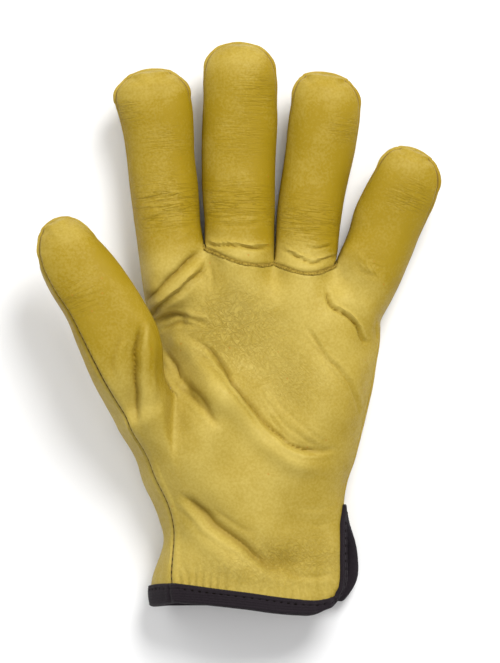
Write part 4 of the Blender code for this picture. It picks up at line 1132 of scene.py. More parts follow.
PATCHES = (
    Patch(-0.347, 1.146, 0.17, 0.065, 1.0, 0.1),
    Patch(-0.519, 1.411, 0.06, 0.050, 0.8, 0.0),
    Patch(-0.330, 1.330, 0.12, 0.060, 0.3, 0.0),
    Patch(-0.034, 1.151, 0.16, 0.055, 0.8, 0.0),
    Patch(0.051, 1.474, 0.08, 0.060, 0.7, 0.0),
    Patch(-0.020, 1.330, 0.14, 0.070, 0.3, 0.0),
    Patch(0.420, 1.366, 0.06, 0.035, 0.8, 0.0),
    Patch(0.283, 1.097, 0.15, 0.060, 0.8, 0.1),
    Patch(0.711, 1.166, 0.09, 0.045, 0.8, 0.0),
    Patch(0.500, 0.960, 0.10, 0.060, 0.5, 0.2),
    Patch(-0.720, 0.880, 0.10, 0.060, 0.6, 0.1),
    Patch(-0.069, 0.789, 0.20, 0.130, 0.0, 1.0),
    Patch(0.210, 0.640, 0.20, 0.100, 0.0, 0.4),
    Patch(0.190, 0.140, 0.28, 0.060, 0.0, 0.9),
    Patch(-0.100, 0.090, 0.30, 0.050, 0.0, 0.4),
    Patch(-0.300, 0.480, 0.14, 0.120, 0.0, 0.3),
)


@dataclass(frozen=True)
class Relief:
    """Heights, widths and places of the fine relief, in millimetres.

    Places are distances from a seam, and a fade is the run from a digit's root over which its
    deeper colour comes in.
    """

    uneven: float = 0.45
    uneven_fine: float = 0.14
    groove: float = 0.95
    groove_width: float = 0.55
    shoulder: float = 0.22
    shoulder_place: float = 1.7
    tip_rim: float = 0.9
    tip_rim_place: float = 1.4
    tip_rim_width: float = 1.1
    gather_reach: float = 2.6
    crease_step: float = 1.2
    crease_wander: float = 0.5
    pucker: float = 0.32
    # The valley depth at which the painted shade in hollows is full
    full_hollow: float = 1.8
    thumb_fade: float = 40.0
    finger_fade: float = 14.0


RELIEF = Relief()


@dataclass
class Leather:
    """The fine leather surface, its relief and the measures that its finish reads."""

    points: Array
    members: Array
    faces: Array
    panels: Array
    coarse_faces: Array
    coarse_panels: Array
    coarse_count: int
    normals: Array
    seam_distance: Array
    hollow: Array
    inner: Array

    @classmethod
    def from_cage(cls, cage: Cage) -> Leather:
        """Refines the cage three times and finds the seams' distances."""
        faces = np.array(cage.faces)
        control = through_points(np.array(cage.values), faces)
        values, coarse = refine(control, faces, 2)
        coarse_count = len(values)
        values, fine = subdivide(values, coarse)
        owners = np.array(cage.panels)
        leather = cls(values[:, :3].copy(), np.clip(values[:, 3:], 0, 1), fine,
                      np.repeat(owners, 4 * COARSE), coarse, np.repeat(owners, COARSE),
                      coarse_count, point_normals(values[:, :3], fine), np.zeros(len(values)),
                      np.zeros(len(values)), values[:, :3])
        leather.even_tips()
        leather.round_tips()
        leather.tuck_web()
        leather.gather_seams()
        return leather

    def member(self, zone: Zone) -> Array:
        """How much each point belongs to a zone."""
        if zone is Zone.PALM:
            return 1 - self.members.sum(axis=1)
        return self.members[:, zone.value - 3]

    def reach(self, zone: Zone) -> Array:
        """A zone's membership; the thumb's goes on over the palm below the web."""
        if zone is Zone.THUMB:
            below = smooth((WEB_SPOT[1] * SIZES.hand_length - self.points[:, 1]) / 0.008)
            return self.member(zone) + below * self.member(Zone.PALM)
        return self.member(zone)

    def touches(self, panel: Panel) -> Array:
        """Which points lie on a panel."""
        on = np.zeros(len(self.points), bool)
        on[self.faces[self.panels == PANELS.index(panel)].ravel()] = True
        return on

    def edges(self) -> Array:
        """Every directed edge of the fine faces."""
        return np.stack((self.faces, np.roll(self.faces, -1, axis=1)), axis=2).reshape(-1, 2)

    def tip_share(self) -> Array:
        """0 along a digit, 1 at its tip."""
        total = np.zeros(len(self.points))
        for zone, digit in DIGITS.items():
            along = (self.points[:, :2] - digit.root) @ digit.axis
            near = smooth((along - digit.length + 0.016) / 0.008)
            total += near * self.member(zone)
        return total

    def even_tips(self) -> None:
        """Evens out the tips: rounds of smoothing, each followed by one that swells it back."""
        edges = self.edges()
        edges = np.vstack((edges, edges[:, ::-1]))
        uses = np.bincount(edges[:, 1], minlength=len(self.points))[:, None]
        weight = self.tip_share()[:, None]
        for _ in range(TIP_ROUNDS):
            for step in (0.50, -0.51):
                total = np.zeros_like(self.points)
                np.add.at(total, edges[:, 1], self.points[edges[:, 0]])
                self.points = self.points + step * weight * (total / uses - self.points)
        self.normals = point_normals(self.points, self.faces)

    def round_tips(self) -> None:
        """Evens out each tip's outline, seen from above, round a point inside the tip.

        The farthest point is found in every slice of angle and the row of slices is averaged
        with a bell curve. Each point then keeps its share of the way out to the outline.
        """
        slices = np.radians(np.arange(-8, 189, TIP_SLICE))
        bell = np.exp(-0.5 * (np.arange(-9, 10) * TIP_SLICE / TIP_SPREAD) ** 2)
        bell /= bell.sum()
        for zone, digit in DIGITS.items():
            inset = 0.0150 if zone is Zone.THUMB else 0.0130
            plan = self.points[:, :2] - digit.root - (digit.length - inset) * digit.axis
            across, along = plan @ digit.over, plan @ digit.axis
            angle, radius = np.arctan2(along, across), np.hypot(across, along)
            mine = (self.member(zone) > 0.9) & (along > -0.006)
            spot = np.clip(np.round((angle - slices[0]) / (slices[1] - slices[0])), 0,
                           len(slices) - 1).astype(int)
            outline = np.zeros(len(slices))
            np.maximum.at(outline, spot[mine], radius[mine])
            found = outline > 0
            outline = np.interp(slices, slices[found], outline[found])
            even = np.convolve(np.pad(outline, 9, mode="edge"), bell, mode="valid")
            scale = np.interp(angle, slices, even / outline)
            share = mine * smooth((along + 0.001) / 0.004)
            move = (share * (scale - 1))[:, None] * plan
            self.points[:, :2] += move
        self.normals = point_normals(self.points, self.faces)

    def tuck_web(self) -> None:
        """Draws the palm's side in under the thumb, where the two part."""
        spot = WEB_SPOT * HAND
        offset = (self.points[:, :2] - spot) / (0.007, 0.012)
        share = np.exp(-(offset ** 2).sum(axis=1)) * self.member(Zone.PALM)
        share *= smooth(-self.normals[:, 0] / 0.5)
        self.points[:, 0] -= 0.0040 * share
        self.normals = point_normals(self.points, self.faces)

    def gather_seams(self) -> None:
        """Measures the distance to the nearest seam over the surface and tightens its rings.

        Distances spread from the seam's points along edges, always keeping the shortest sum.
        Rings near a seam are drawn towards it, from d to d - 0.55 d (1 - d / 2.6 mm) squared.
        """
        fronts = self.touches(Panel.PALM) | self.touches(Panel.MIDDLE) | self.touches(Panel.RING)
        welted = self.touches(Panel.PALM) & (self.touches(Panel.MIDDLE) | self.touches(Panel.RING))
        on_seam = (fronts & self.touches(Panel.BACK)) | welted
        edges = self.edges()
        edges = np.vstack((edges, edges[:, ::-1]))
        lengths = np.linalg.norm(self.points[edges[:, 0]] - self.points[edges[:, 1]], axis=1)
        distance = np.where(on_seam, 0.0, 1.0)
        nearest = np.arange(len(self.points))
        for _ in range(12):
            reach = distance[edges[:, 0]] + lengths
            better = np.flatnonzero(reach < distance[edges[:, 1]])
            order = better[np.argsort(-reach[better])]
            distance[edges[order, 1]] = reach[order]
            nearest[edges[order, 1]] = nearest[edges[order, 0]]
        reach = RELIEF.gather_reach * MILLIMETRE
        near = (distance > 0) & (distance < reach)
        pull = 0.55 * np.clip(1 - distance / reach, 0, 1) ** 2
        target = self.points[nearest]
        way = target - self.points
        flat = way - (way * self.normals).sum(axis=1)[:, None] * self.normals
        self.points = np.where(near[:, None], self.points + pull[:, None] * flat, self.points)
        self.seam_distance = np.where(near, distance * (1 - pull), distance)

    def add_relief(self) -> None:
        """Moves the surface along its normals: unevenness, folds, creases, seams and puckers."""
        height = RELIEF.uneven * MILLIMETRE * soft_noise(self.points, 0.026, 11)
        height += RELIEF.uneven_fine * MILLIMETRE * soft_noise(self.points, 0.009, 12)
        folds = self.fold_height() + self.swell_height()
        creases = self.crease_height()
        seam = self.seam_height()
        lowest = self.points[:, 2].min()
        height += folds + creases + seam + self.pucker_height()
        edges = self.edges()
        under = height.copy()
        for _ in range(3):
            np.minimum.at(under, edges[:, 0], under[edges[:, 1]])
            np.minimum.at(under, edges[:, 1], under[edges[:, 0]])
        self.inner = self.points + self.normals * (under - SIZES.leather)[:, None]
        self.points = self.points + self.normals * height[:, None]
        self.points[:, 2] = np.maximum(self.points[:, 2], lowest)
        self.inner[:, 2] = np.maximum(self.inner[:, 2], lowest + 0.6 * SIZES.leather)
        # Valleys count positive and crests negative: the finish paints shade in the one and a paler
        # tone on the other
        full = RELIEF.full_hollow * MILLIMETRE
        self.hollow = np.clip(-(0.3 * folds + creases) / full, -1, 1)

    def front_share(self) -> Array:
        """1 on the front, 0 on the sides, the back and right at the cuff's edge."""
        facing = smooth((self.normals[:, 2] - 0.45) / 0.4)
        return facing * smooth((self.points[:, 1] - 0.006) / 0.014)

    def fold_height(self) -> Array:
        """The frame's broad folds: a rounded valley with a roll beside it."""
        height = np.zeros(len(self.points))
        for fold in FOLDS:
            half_width = fold.half_width * SIZES.palm_depth
            distance, side, share = path_distance(self.points[:, :2], fold.path * HAND)
            taper = tapered(share, 0.25, 0.25)
            valley = fold.depth * SIZES.palm_depth * np.exp(-(distance / half_width) ** 2)
            crest = np.exp(-((distance - 1.6 * half_width) / half_width) ** 2)
            crest *= fold.roll * SIZES.palm_depth * np.where(side == fold.side, 1.0, 0.2)
            height += fold.kept * taper * (0.6 * crest - valley)
        return height * self.front_share()

    def swell_height(self) -> Array:
        """Broad rises and hollows that the leather's slack throws up round the folds."""
        total = np.zeros(len(self.points))
        for swell in SWELLS:
            distance, _, share = path_distance(self.points[:, :2], swell.path * HAND)
            taper = tapered(share, 0.3, 0.3)
            t = distance / (swell.half_width * MILLIMETRE)
            total += swell.height * MILLIMETRE * taper * np.exp(-t ** 2) * self.reach(swell.zone)
        return total * self.front_share()

    def crease_height(self) -> Array:
        """Fine creases: a sharp-bottomed valley, a roll beside it, both tapered to the ends."""
        total = np.zeros(len(self.points))
        facing = smooth((self.normals[:, 2] - 0.10) / 0.4)
        for number, crease in enumerate(CREASES):
            path = smooth_path(crease.path * HAND, RELIEF.crease_step * MILLIMETRE)
            reach = 5 * crease.half_width * MILLIMETRE
            inside = ((self.points[:, :2] > path.min(axis=0) - reach)
                      & (self.points[:, :2] < path.max(axis=0) + reach)).all(axis=1)
            inside &= (self.reach(crease.zone) > 0.02) & (facing > 0)
            near = np.flatnonzero(inside)
            place = self.points[near]
            wander = [soft_noise(place, 0.006, seed + number) for seed in (31, 71)]
            wander = RELIEF.crease_wander * MILLIMETRE * np.stack(wander, axis=1)
            distance, side, share = path_distance(place[:, :2] + wander, path)
            taper = tapered(share, 0.22, 0.26)
            t = distance / (crease.half_width * MILLIMETRE)
            valley = crease.depth * (0.45 * np.exp(-(t / 0.38) ** 2) + 0.55 * np.exp(-t ** 2))
            crest = crease.roll * np.exp(-((t - 1.75) / 0.85) ** 2)
            crest = crest * np.where(side == crease.side, 1.0, 0.25)
            weight = taper * facing[near] * self.reach(crease.zone)[near]
            total[near] += MILLIMETRE * weight * (crest - valley)
        return total

    def seam_height(self) -> Array:
        """A narrow groove at every seam, between two soft shoulders."""
        d = self.seam_distance / MILLIMETRE
        groove = RELIEF.groove * np.exp(-(d / RELIEF.groove_width) ** 2)
        shoulder = RELIEF.shoulder * np.exp(-(d - RELIEF.shoulder_place) ** 2)
        rim = np.exp(-((d - RELIEF.tip_rim_place) / RELIEF.tip_rim_width) ** 2)
        rim = rim * self.touches(Panel.BACK) * self.tip_share()
        uneven = 1 + 0.3 * soft_noise(self.points, 0.005, 51)
        return MILLIMETRE * (shoulder * uneven + RELIEF.tip_rim * rim - groove)

    def pucker_height(self) -> Array:
        """Small gathers that run up from the bound edge where its elastic draws it in."""
        across = self.points[:, 0] / SIZES.hand_width
        edge = read(CUFF_EDGE, "front", across) * SIZES.hand_length
        rise = self.points[:, 1] - edge - SIZES.binding_width
        share = np.exp(-(np.clip(rise, 0, None) / 0.007) ** 2) * smooth((rise + 0.012) / 0.012)
        wander = 0.0022 * soft_noise(self.points, 0.010, 61)
        wave = np.sin(2 * math.pi * (self.points[:, 0] + wander) / 0.0038)
        uneven = 0.6 + 0.6 * soft_noise(self.points * (1.0, 0.4, 1.0), 0.012, 62)
        facing = smooth((self.normals[:, 2] - 0.1) / 0.4)
        return RELIEF.pucker * MILLIMETRE * wave * share * np.clip(uneven, 0, 1) * facing

    def flow(self) -> Array:
        """Coordinates that run along each digit, blended from zone to zone."""
        palm = self.points * (1.0, 1.0, 0.5)
        total = palm * self.member(Zone.PALM)[:, None]
        for zone, digit in DIGITS.items():
            plan = self.points[:, :2] - digit.root
            local = np.column_stack((plan @ digit.over, plan @ digit.axis, self.points[:, 2]))
            total += local * self.member(zone)[:, None]
        return total

    def deep_tone_and_side_shade(self) -> Array:
        """How far the colour goes to the deep tone: on the digits, less at the tips, and as painted
        shade on right-facing sides.
        """
        digits = np.zeros(len(self.points))
        for zone, digit in DIGITS.items():
            along = (self.points[:, :2] - digit.root) @ digit.axis
            fade = RELIEF.thumb_fade if zone is Zone.THUMB else RELIEF.finger_fade
            digits += self.member(zone) * smooth(along / (fade * MILLIMETRE))
        # Painted shade: sides that face right and a little towards the cuff take the deep tone, as
        # if lit from the left
        side = smooth((0.92 * self.normals[:, 0] - 0.38 * self.normals[:, 1] - 0.05) / 0.75)
        return np.clip(0.80 * digits * (1 - 0.4 * self.tip_share()) + 0.50 * side, 0, 1)

    def patches(self, kind: str) -> Array:
        """How strongly a kind of fine wrinkle shows, from soft-edged elliptical patches."""
        plan = self.points[:, :2] / HAND
        total = np.zeros(len(self.points))
        for patch in PATCHES:
            a = (plan[:, 0] - patch.across) / patch.reach_across
            b = (plan[:, 1] - patch.along) / patch.reach_along
            total += getattr(patch, kind) * np.exp(-(a ** 2 + b ** 2))
        return np.clip(total, 0, 1) * smooth(self.normals[:, 2] / 0.4)

    def seam_chain(self) -> list[int]:
        """The fine points along the seam between the fronts and the back, in order."""
        back = self.panels == PANELS.index(Panel.BACK)
        edges = self.edges().reshape(-1, 4, 2)
        of_back = {tuple(edge) for edge in edges[back].reshape(-1, 2)}
        of_front = [tuple(edge) for edge in edges[~back].reshape(-1, 2)]
        return walk({a: b for a, b in of_front if (b, a) in of_back})

    def welt_chain(self) -> list[int]:
        """The fine points along the seam between the palm and the set-in fronts, in order."""
        palm = self.panels == PANELS.index(Panel.PALM)
        set_in = ~palm & (self.panels != PANELS.index(Panel.BACK))
        edges = self.edges().reshape(-1, 4, 2)
        of_palm = {tuple(edge) for edge in edges[palm].reshape(-1, 2)}
        return walk({a: b for a, b in (tuple(e) for e in edges[set_in].reshape(-1, 2))
                     if (b, a) in of_palm})

    def cut_edge(self) -> list[int]:
        """The fine points round the cuff and the vent, in order, from one point back to it."""
        return walk(dict(open_pairs(self.faces)))


def walk(after: dict[int, int]) -> list[int]:
    """Follows links from a start that nothing links to, or from the first one of a ring."""
    starts = set(after) - set(after.values())
    here = min(starts) if starts else min(after)
    chain = [here]
    while here in after and len(chain) <= len(after):
        here = after[here]
        chain.append(here)
    return chain


def chain_run(points: Array) -> Array:
    """Distance travelled along a row of points."""
    return np.concatenate(([0.0], np.cumsum(np.linalg.norm(np.diff(points, axis=0), axis=1))))


def evened(rows: Array, run: Array, at: Array) -> Array:
    """Rows read at new places along their run, column by column."""
    return np.column_stack([np.interp(at, run, rows[:, column]) for column in range(rows.shape[1])])


def softened(rows: Array, rounds: int) -> Array:
    """Rows averaged with their neighbours, the ends kept."""
    for _ in range(rounds):
        spread = rows.copy()
        spread[1:-1] = 0.25 * (rows[:-2] + 2 * rows[1:-1] + rows[2:])
        rows = spread
    return rows


@dataclass
class Shell:
    """A mesh on its way to being an object: points, polygons and point attributes."""

    name: str
    node: Panel | str
    slot: str
    points: Array
    polygons: list[Sequence[int]] | Array
    attributes: dict[str, Array] = field(default_factory=dict)
    smooth_angle: float = 50.0

    def to_object(self, material: bpy.types.Material) -> bpy.types.Object:
        """Makes the object, its attributes and smoothing, and ties it to the frame."""
        mesh = bpy.data.meshes.new(self.name)
        if isinstance(self.polygons, list):
            mesh.from_pydata([tuple(p) for p in self.points], [], self.polygons)
        else:
            corners = self.polygons.shape[1]
            mesh.vertices.add(len(self.points))
            mesh.vertices.foreach_set("co", self.points.astype(np.float32).ravel())
            mesh.loops.add(self.polygons.size)
            mesh.loops.foreach_set("vertex_index", self.polygons.astype(np.int32).ravel())
            mesh.polygons.add(len(self.polygons))
            starts = np.arange(0, self.polygons.size, corners, dtype=np.int32)
            mesh.polygons.foreach_set("loop_start", starts)
        mesh.update(calc_edges=True)
        for name, values in self.attributes.items():
            kind = "FLOAT" if values.ndim == 1 else "FLOAT_VECTOR"
            key = "value" if values.ndim == 1 else "vector"
            layer = mesh.attributes.new(name, kind, "POINT")
            layer.data.foreach_set(key, values.astype(np.float32).ravel())
        mesh.validate()
        mesh.shade_smooth()
        mesh.set_sharp_from_angle(angle=math.radians(self.smooth_angle))
        mesh.materials.append(material)
        thing = bpy.data.objects.new(self.name, mesh)
        bpy.context.scene.collection.objects.link(thing)
        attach(thing, "root")
        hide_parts(self.node.value if isinstance(self.node, Panel) else self.node)
        LOG.info("%s: %d points, %d polygons", self.name, len(mesh.vertices), len(mesh.polygons))
        return thing


def open_pairs(faces: Array) -> list[tuple[int, int]]:
    """The directed edges that only one quad uses."""
    pairs = {(int(a), int(b)) for corner in range(4)
             for a, b in zip(faces[:, corner], faces[:, (corner + 1) % 4])}
    return [(a, b) for a, b in pairs if (b, a) not in pairs]


def new_ids(used: Array, count: int) -> Array:
    """New ids in order for the used ones of a number of old ids, and -1 for the others."""
    ids = np.full(count, -1)
    ids[used] = np.arange(len(used))
    return ids


def leather_shell(leather: Leather, panel: Panel, name: str, shift: Array) -> Shell:
    """A panel's wall: the fine outer surface, a coarser inner one and a cut edge between.

    Args:
        leather: the surface with its relief.
        panel: the panel to cut out.
        name: the piece's name.
        shift: the move into the frame's coordinates.

    Returns:
        The closed shell, with its cut edge drawn back a little from its neighbours.
    """
    fine = leather.faces[leather.panels == PANELS.index(panel)]
    coarse = leather.coarse_faces[leather.coarse_panels == PANELS.index(panel)]
    used = np.unique(fine)
    local = new_ids(used, len(leather.points))
    place = leather.points[used].copy()
    after = dict(open_pairs(fine))
    rim = np.array(sorted(after))
    place[local[rim]] += CUT_GAP * MILLIMETRE * unit(ways_in(leather.points, fine)[rim])

    under = np.unique(coarse)
    inner_id = len(used) + new_ids(under, len(leather.points))
    inner = leather.inner[under]
    polygons: list[Sequence[int]] = [tuple(face) for face in local[fine].tolist()]
    polygons += [tuple(face[::-1]) for face in inner_id[coarse].tolist()]
    for a in after:
        if a < leather.coarse_count:
            m = after[a]
            b = after[m]
            polygons.append((local[b], local[m], local[a], inner_id[a], inner_id[b]))
    polygons = [tuple(int(i) for i in polygon) for polygon in polygons]

    def both(values: Array) -> Array:
        """A measure for the outer points and then for the inner ones."""
        return np.concatenate((values[used], values[under]))

    attributes = {
        "flow": both(leather.flow()),
        "seam": both(np.exp(-(leather.seam_distance / (0.9 * MILLIMETRE)) ** 2)),
        # Painted shade in valleys; paler crests, partly a painted highlight
        "hollow": both(leather.hollow),
        "deep_tone_and_side_shade": both(leather.deep_tone_and_side_shade()),
        "crosswise": both(leather.patches("crosswise")),
        "crackle": both(leather.patches("crackle")),
        "outside": np.concatenate((np.ones(len(used)), np.zeros(len(under)))),
    }
    points = np.vstack((place, inner)) + shift
    return Shell(name, panel, "leather", points, polygons, attributes)


def tube_shell(name: str, node: str, slot: str, sections: Array,
               attributes: dict[str, Array] | None = None) -> Shell:
    """A closed shell through sections of equal count, stacked in one array."""
    rows, count, _ = sections.shape
    ids = np.arange(rows * count).reshape(rows, count)
    turned = np.roll(ids, -1, axis=1)
    quads = np.stack((ids[:-1], turned[:-1], turned[1:], ids[1:]), axis=-1).reshape(-1, 4)
    polygons: list[Sequence[int]] = [tuple(q) for q in quads.tolist()]
    polygons.append(tuple(ids[0][::-1].tolist()))
    polygons.append(tuple(ids[-1].tolist()))
    return Shell(name, node, slot, sections.reshape(-1, 3), polygons, attributes or {})


def edge_frames(leather: Leather, normals: Array) -> tuple[Array, Array, Array]:
    """Even steps round the cut edge: places, normals and ways in over the leather.

    The run starts below the vent's top, goes down its front edge, along the cuff and up the
    vent's back edge.
    """
    ring = leather.cut_edge()[:-1]
    top = max(ring, key=lambda i: leather.points[i, 1])
    start = ring.index(top)
    ring = ring[start:] + ring[:start]
    quarter = leather.points[ring[len(ring) // 8], 2]
    if quarter < leather.points[ring[-len(ring) // 8], 2]:
        ring = [ring[0]] + ring[:0:-1]
    ways = unit(ways_in(leather.points, leather.faces)[ring])
    places, ups = leather.points[ring], normals[ring]
    run = chain_run(places)
    at = np.arange(VENT_TOP_GAP, run[-1] - VENT_TOP_GAP, TAPE_STEP * MILLIMETRE)
    places = softened(evened(places, run, at), 36)
    ups = unit(softened(evened(ups, run, at), 40))
    ways = softened(evened(ways, run, at), 120)
    ways = unit(ways - (ways * ups).sum(axis=1)[:, None] * ups)
    return places, ups, ways


def tape_shell(leather: Leather, normals: Array, shift: Array) -> tuple[Shell, Array, Array]:
    """The knitted tape folded round the cut edge, with ribs along it and a notched edge.

    The outer leg follows the leather at a height of its gap and its own thickness, plus ribs:
    a cosine across the leg. The stitch line is a dip with a deeper dash at every stitch.

    Returns:
        The shell, and the stitches' places and directions.
    """
    places, ups, ways = edge_frames(leather, normals)
    run = chain_run(places)
    share = run / run[-1]
    ends = 0.30 + 0.70 * smooth(np.minimum(run, run[-1] - run) / 0.009)
    width = SIZES.binding_width * read(TAPE_FORM, "width", share) * ends
    lift = SIZES.tape_gap * read(TAPE_FORM, "lift", share)
    surface = Surface(leather, normals)
    thick = SIZES.binding_thickness
    notch = NOTCH_DEPTH * MILLIMETRE * np.cos(2 * math.pi * run / (NOTCH_PITCH * MILLIMETRE))
    stitch_pitch = TAPE_STITCH * MILLIMETRE
    phase = (run / stitch_pitch) % 1.0
    dash = smooth((0.22 - np.abs(phase - 0.5)) / 0.08)

    columns: list[Array] = []
    across: list[Array] = []

    def lay(reach: Array, height: Array, place: Array) -> None:
        """Adds a row along the tape, at a reach over the leather and a height above it."""
        spot, up = surface.over(places, ways, ups, reach)
        columns.append(spot + height[:, None] * up)
        across.append(place)

    outer = np.linspace(1.0, 0.0, 30)
    lower = np.linspace(0.0, 0.5, 8)
    edge_roll = np.clip((1.0 - outer) / 0.06, 0, 1) ** 0.5
    for value, roll in zip(outer, edge_roll):
        reach = value * (width + notch)
        rib = RIB_HEIGHT * MILLIMETRE * np.cos(2 * math.pi * reach / (RIB_PITCH * MILLIMETRE))
        dip = np.exp(-((width - reach - STITCH_INSET * MILLIMETRE) / (0.45 * MILLIMETRE)) ** 2)
        height = lift * (0.25 + 0.75 * min(1.0, (1 - value) / 0.25)) + thick * roll + rib * roll
        lay(reach, height - MILLIMETRE * dip * (0.14 + 0.42 * dash), width - reach)
    above = (lift + thick)[:, None]
    for angle in np.linspace(0, math.pi, 12)[1:-1]:
        middle = places - 0.5 * SIZES.leather * ups
        rise = 0.5 * SIZES.leather + above
        rib = RIB_HEIGHT * MILLIMETRE * math.cos(3.2 * angle)
        columns.append(middle + (rise + rib) * math.cos(angle) * ups
                       - (above + rib) * math.sin(angle) * ways)
        across.append(width + EDGE_RUN * angle / math.pi)
    for value in lower:
        lay(value * width, -(SIZES.leather + lift + thick), width + EDGE_RUN + value * width)
    for value in lower[::-2]:
        lay(value * width, -(SIZES.leather + 0.6 * lift), width + EDGE_RUN + value * width)
    for value in (0.3, 0.8):
        lay(value * width, 0.2 * lift, width - value * width)
    sections = np.stack(columns, axis=1)[::-1]
    weave = np.stack((np.repeat(run[:, None], len(columns), axis=1),
                      np.stack(across, axis=1)), axis=-1)[::-1]
    weave = np.dstack((weave, np.zeros(weave.shape[:2])))
    shell = tube_shell("cuff_tape", "cuff_binding", "tape", sections + shift,
                       {"flow": weave.reshape(-1, 3)})
    numbers = np.arange(int(run[-1] / stitch_pitch))
    rows = np.searchsorted(run, (numbers + 0.5) * stitch_pitch)
    spot, up = surface.over(places[rows], ways[rows], ups[rows],
                            width[rows] - STITCH_INSET * MILLIMETRE)
    tangents = unit(places[np.minimum(rows + 2, len(run) - 1)] - places[rows - 2])
    spots = spot + (lift[rows] * 0.9 + thick - 0.0003)[:, None] * up
    return shell, spots + shift, tangents


class Surface:
    """Looks up the leather's surface near a place."""

    def __init__(self, leather: Leather, normals: Array) -> None:
        """Keeps the faces near the cuff in a search tree."""
        low = leather.points[:, 1] < SIZES.vent_length + 0.03
        faces = leather.faces[low[leather.faces].all(axis=1)]
        self.points, self.normals, self.faces = leather.points, normals, faces
        used = np.unique(faces)
        local = new_ids(used, len(leather.points))[faces]
        self.tree = BVHTree.FromPolygons(leather.points[used].tolist(), local.tolist())

    def over(self, places: Array, ways: Array, ups: Array,
             reach: Array) -> tuple[Array, Array]:
        """The surface and its softened normal at a distance in from the cut edge."""
        targets = places + np.asarray(reach)[:, None] * ways
        spots = np.zeros_like(targets)
        found = np.zeros_like(targets)
        for row, target in enumerate(targets):
            spot, _, face, _ = self.tree.find_nearest(target.tolist())
            spots[row] = spot
            found[row] = self.normals[self.faces[face]].mean(axis=0)
        return softened(spots, 3), unit(softened(unit(found), 12))


def welt_shell(leather: Leather, normals: Array, shift: Array) -> Shell:
    """The raw-edged strip caught in the seam below the middle and ring fingers."""
    chain = leather.welt_chain()
    places, ups = leather.points[chain], normals[chain]
    run = chain_run(places)
    gap = WELT_END_GAP * MILLIMETRE
    at = np.arange(gap, run[-1] - gap, WELT_STEP * MILLIMETRE)
    places = softened(evened(places, run, at), 4)
    ups = unit(softened(evened(ups, run, at), 12))
    tangents = unit(np.gradient(places, axis=0))
    over = unit(np.cross(ups, tangents))
    over *= np.sign((over[:, 1]).mean())
    ends = smooth(np.minimum(at - at[0], at[-1] - at) / 0.0025)
    noise = soft_noise(places, 0.0030, 81)[:, None]
    fine = soft_noise(places, 0.0009, 82)[:, None]
    tall = (0.0008 + 0.0006 * ends[:, None]) * (1 + 0.25 * noise) + 0.00014 * fine
    half = 0.00064 + 0.00010 * noise
    lean = -0.30 * tall
    profile = ((-1.0, -1.3), (-1.0, 0.15), (-0.95, 0.75), (-0.6, 0.97), (0.0, 1.03),
               (0.6, 0.95), (0.95, 0.72), (1.0, 0.15), (1.0, -1.3))
    columns = []
    for side, rise in profile:
        columns.append(places + side * half * over + max(rise, 0.0) * lean * over
                       + (rise * tall if rise > 0 else rise * 0.0009) * ups)
    sections = np.stack(columns, axis=1)
    return tube_shell("knuckle_welt_strip", "knuckle_welt", "raw_edge", sections + shift)


def fleece_shell(leather: Leather, cage: Cage, normals: Array, shift: Array) -> Shell:
    """The soft lining inside the cuff: the leather's surface, moved in, with a tufted face."""
    cells = np.array(cage.lining_cells)
    children = (cells[:, None] * COARSE + np.arange(COARSE)).ravel()
    quads = leather.coarse_faces[children]
    used = np.unique(quads)
    quads = new_ids(used, leather.coarse_count)[quads]
    place, up = leather.points[used], normals[used]
    outside = SIZES.leather + SIZES.lining_gap
    tuft = 0.25 * MILLIMETRE * soft_noise(place, 0.0022, 91)
    inner = place - (outside + SIZES.lining_thickness + tuft)[:, None] * up
    points = np.vstack((place - outside * up, inner)) + shift
    count = len(used)
    rim = [(b, a, a + count, b + count) for a, b in open_pairs(quads)]
    polygons = np.vstack((quads, (quads + count)[:, ::-1], np.array(rim)))
    return Shell("cuff_fleece", "cuff_lining", "fleece", points, polygons)


def stitches_shell(name: str, node: str, slot: str, spots: Array, tangents: Array, length: float,
                   radius: float) -> Shell:
    """Short rounded lengths of thread, each along its tangent."""
    sides, rings = 6, ((-0.5, 0.35), (-0.40, 0.85), (0.0, 1.0), (0.40, 0.85), (0.5, 0.35))
    helper = np.where(np.abs(tangents[:, 2:3]) > 0.9, (1.0, 0.0, 0.0), (0.0, 0.0, 1.0))
    first = unit(np.cross(tangents, helper))
    second = np.cross(tangents, first)
    turn = np.linspace(0, 2 * math.pi, sides, endpoint=False)
    shape = []
    for along, thick in rings:
        for angle in turn:
            shape.append(spots + along * length * tangents
                         + radius * thick * (math.cos(angle) * first + math.sin(angle) * second))
    points = np.stack(shape, axis=1)
    count = points.shape[1]
    faces = []
    for ring in range(len(rings) - 1):
        for side in range(sides):
            a, b = ring * sides + side, ring * sides + (side + 1) % sides
            faces.append((a, b, b + sides, a + sides))
    ends = [tuple(range(sides))[::-1], tuple(range(count - sides, count))]
    polygons: list[Sequence[int]] = []
    for number in range(len(spots)):
        base = number * count
        polygons += [tuple(base + i for i in face) for face in faces + ends]
    return Shell(name, node, slot, points.reshape(-1, 3), polygons)


def seam_stitches(leather: Leather, normals: Array, shift: Array) -> Shell:
    """Thread that shows in the groove between the fronts and the back."""
    chain = leather.seam_chain()
    places, ups = leather.points[chain], normals[chain]
    run = chain_run(places)
    at = np.arange(0.003, run[-1] - 0.003, SEAM_STITCH * MILLIMETRE)
    spots = evened(places, run, at)
    ahead = evened(places, run, at + 0.0006)
    ups = unit(evened(ups, run, at))
    return stitches_shell("seam_stitches", Panel.PALM.value, "leather",
                          spots + 0.30 * MILLIMETRE * ups + shift, unit(ahead - spots),
                          THREAD_LENGTH * MILLIMETRE, 0.30 * MILLIMETRE)


Triple = tuple[float, float, float]
Colour = Triple
Feed = "bpy.types.NodeSocket | float | tuple | None"


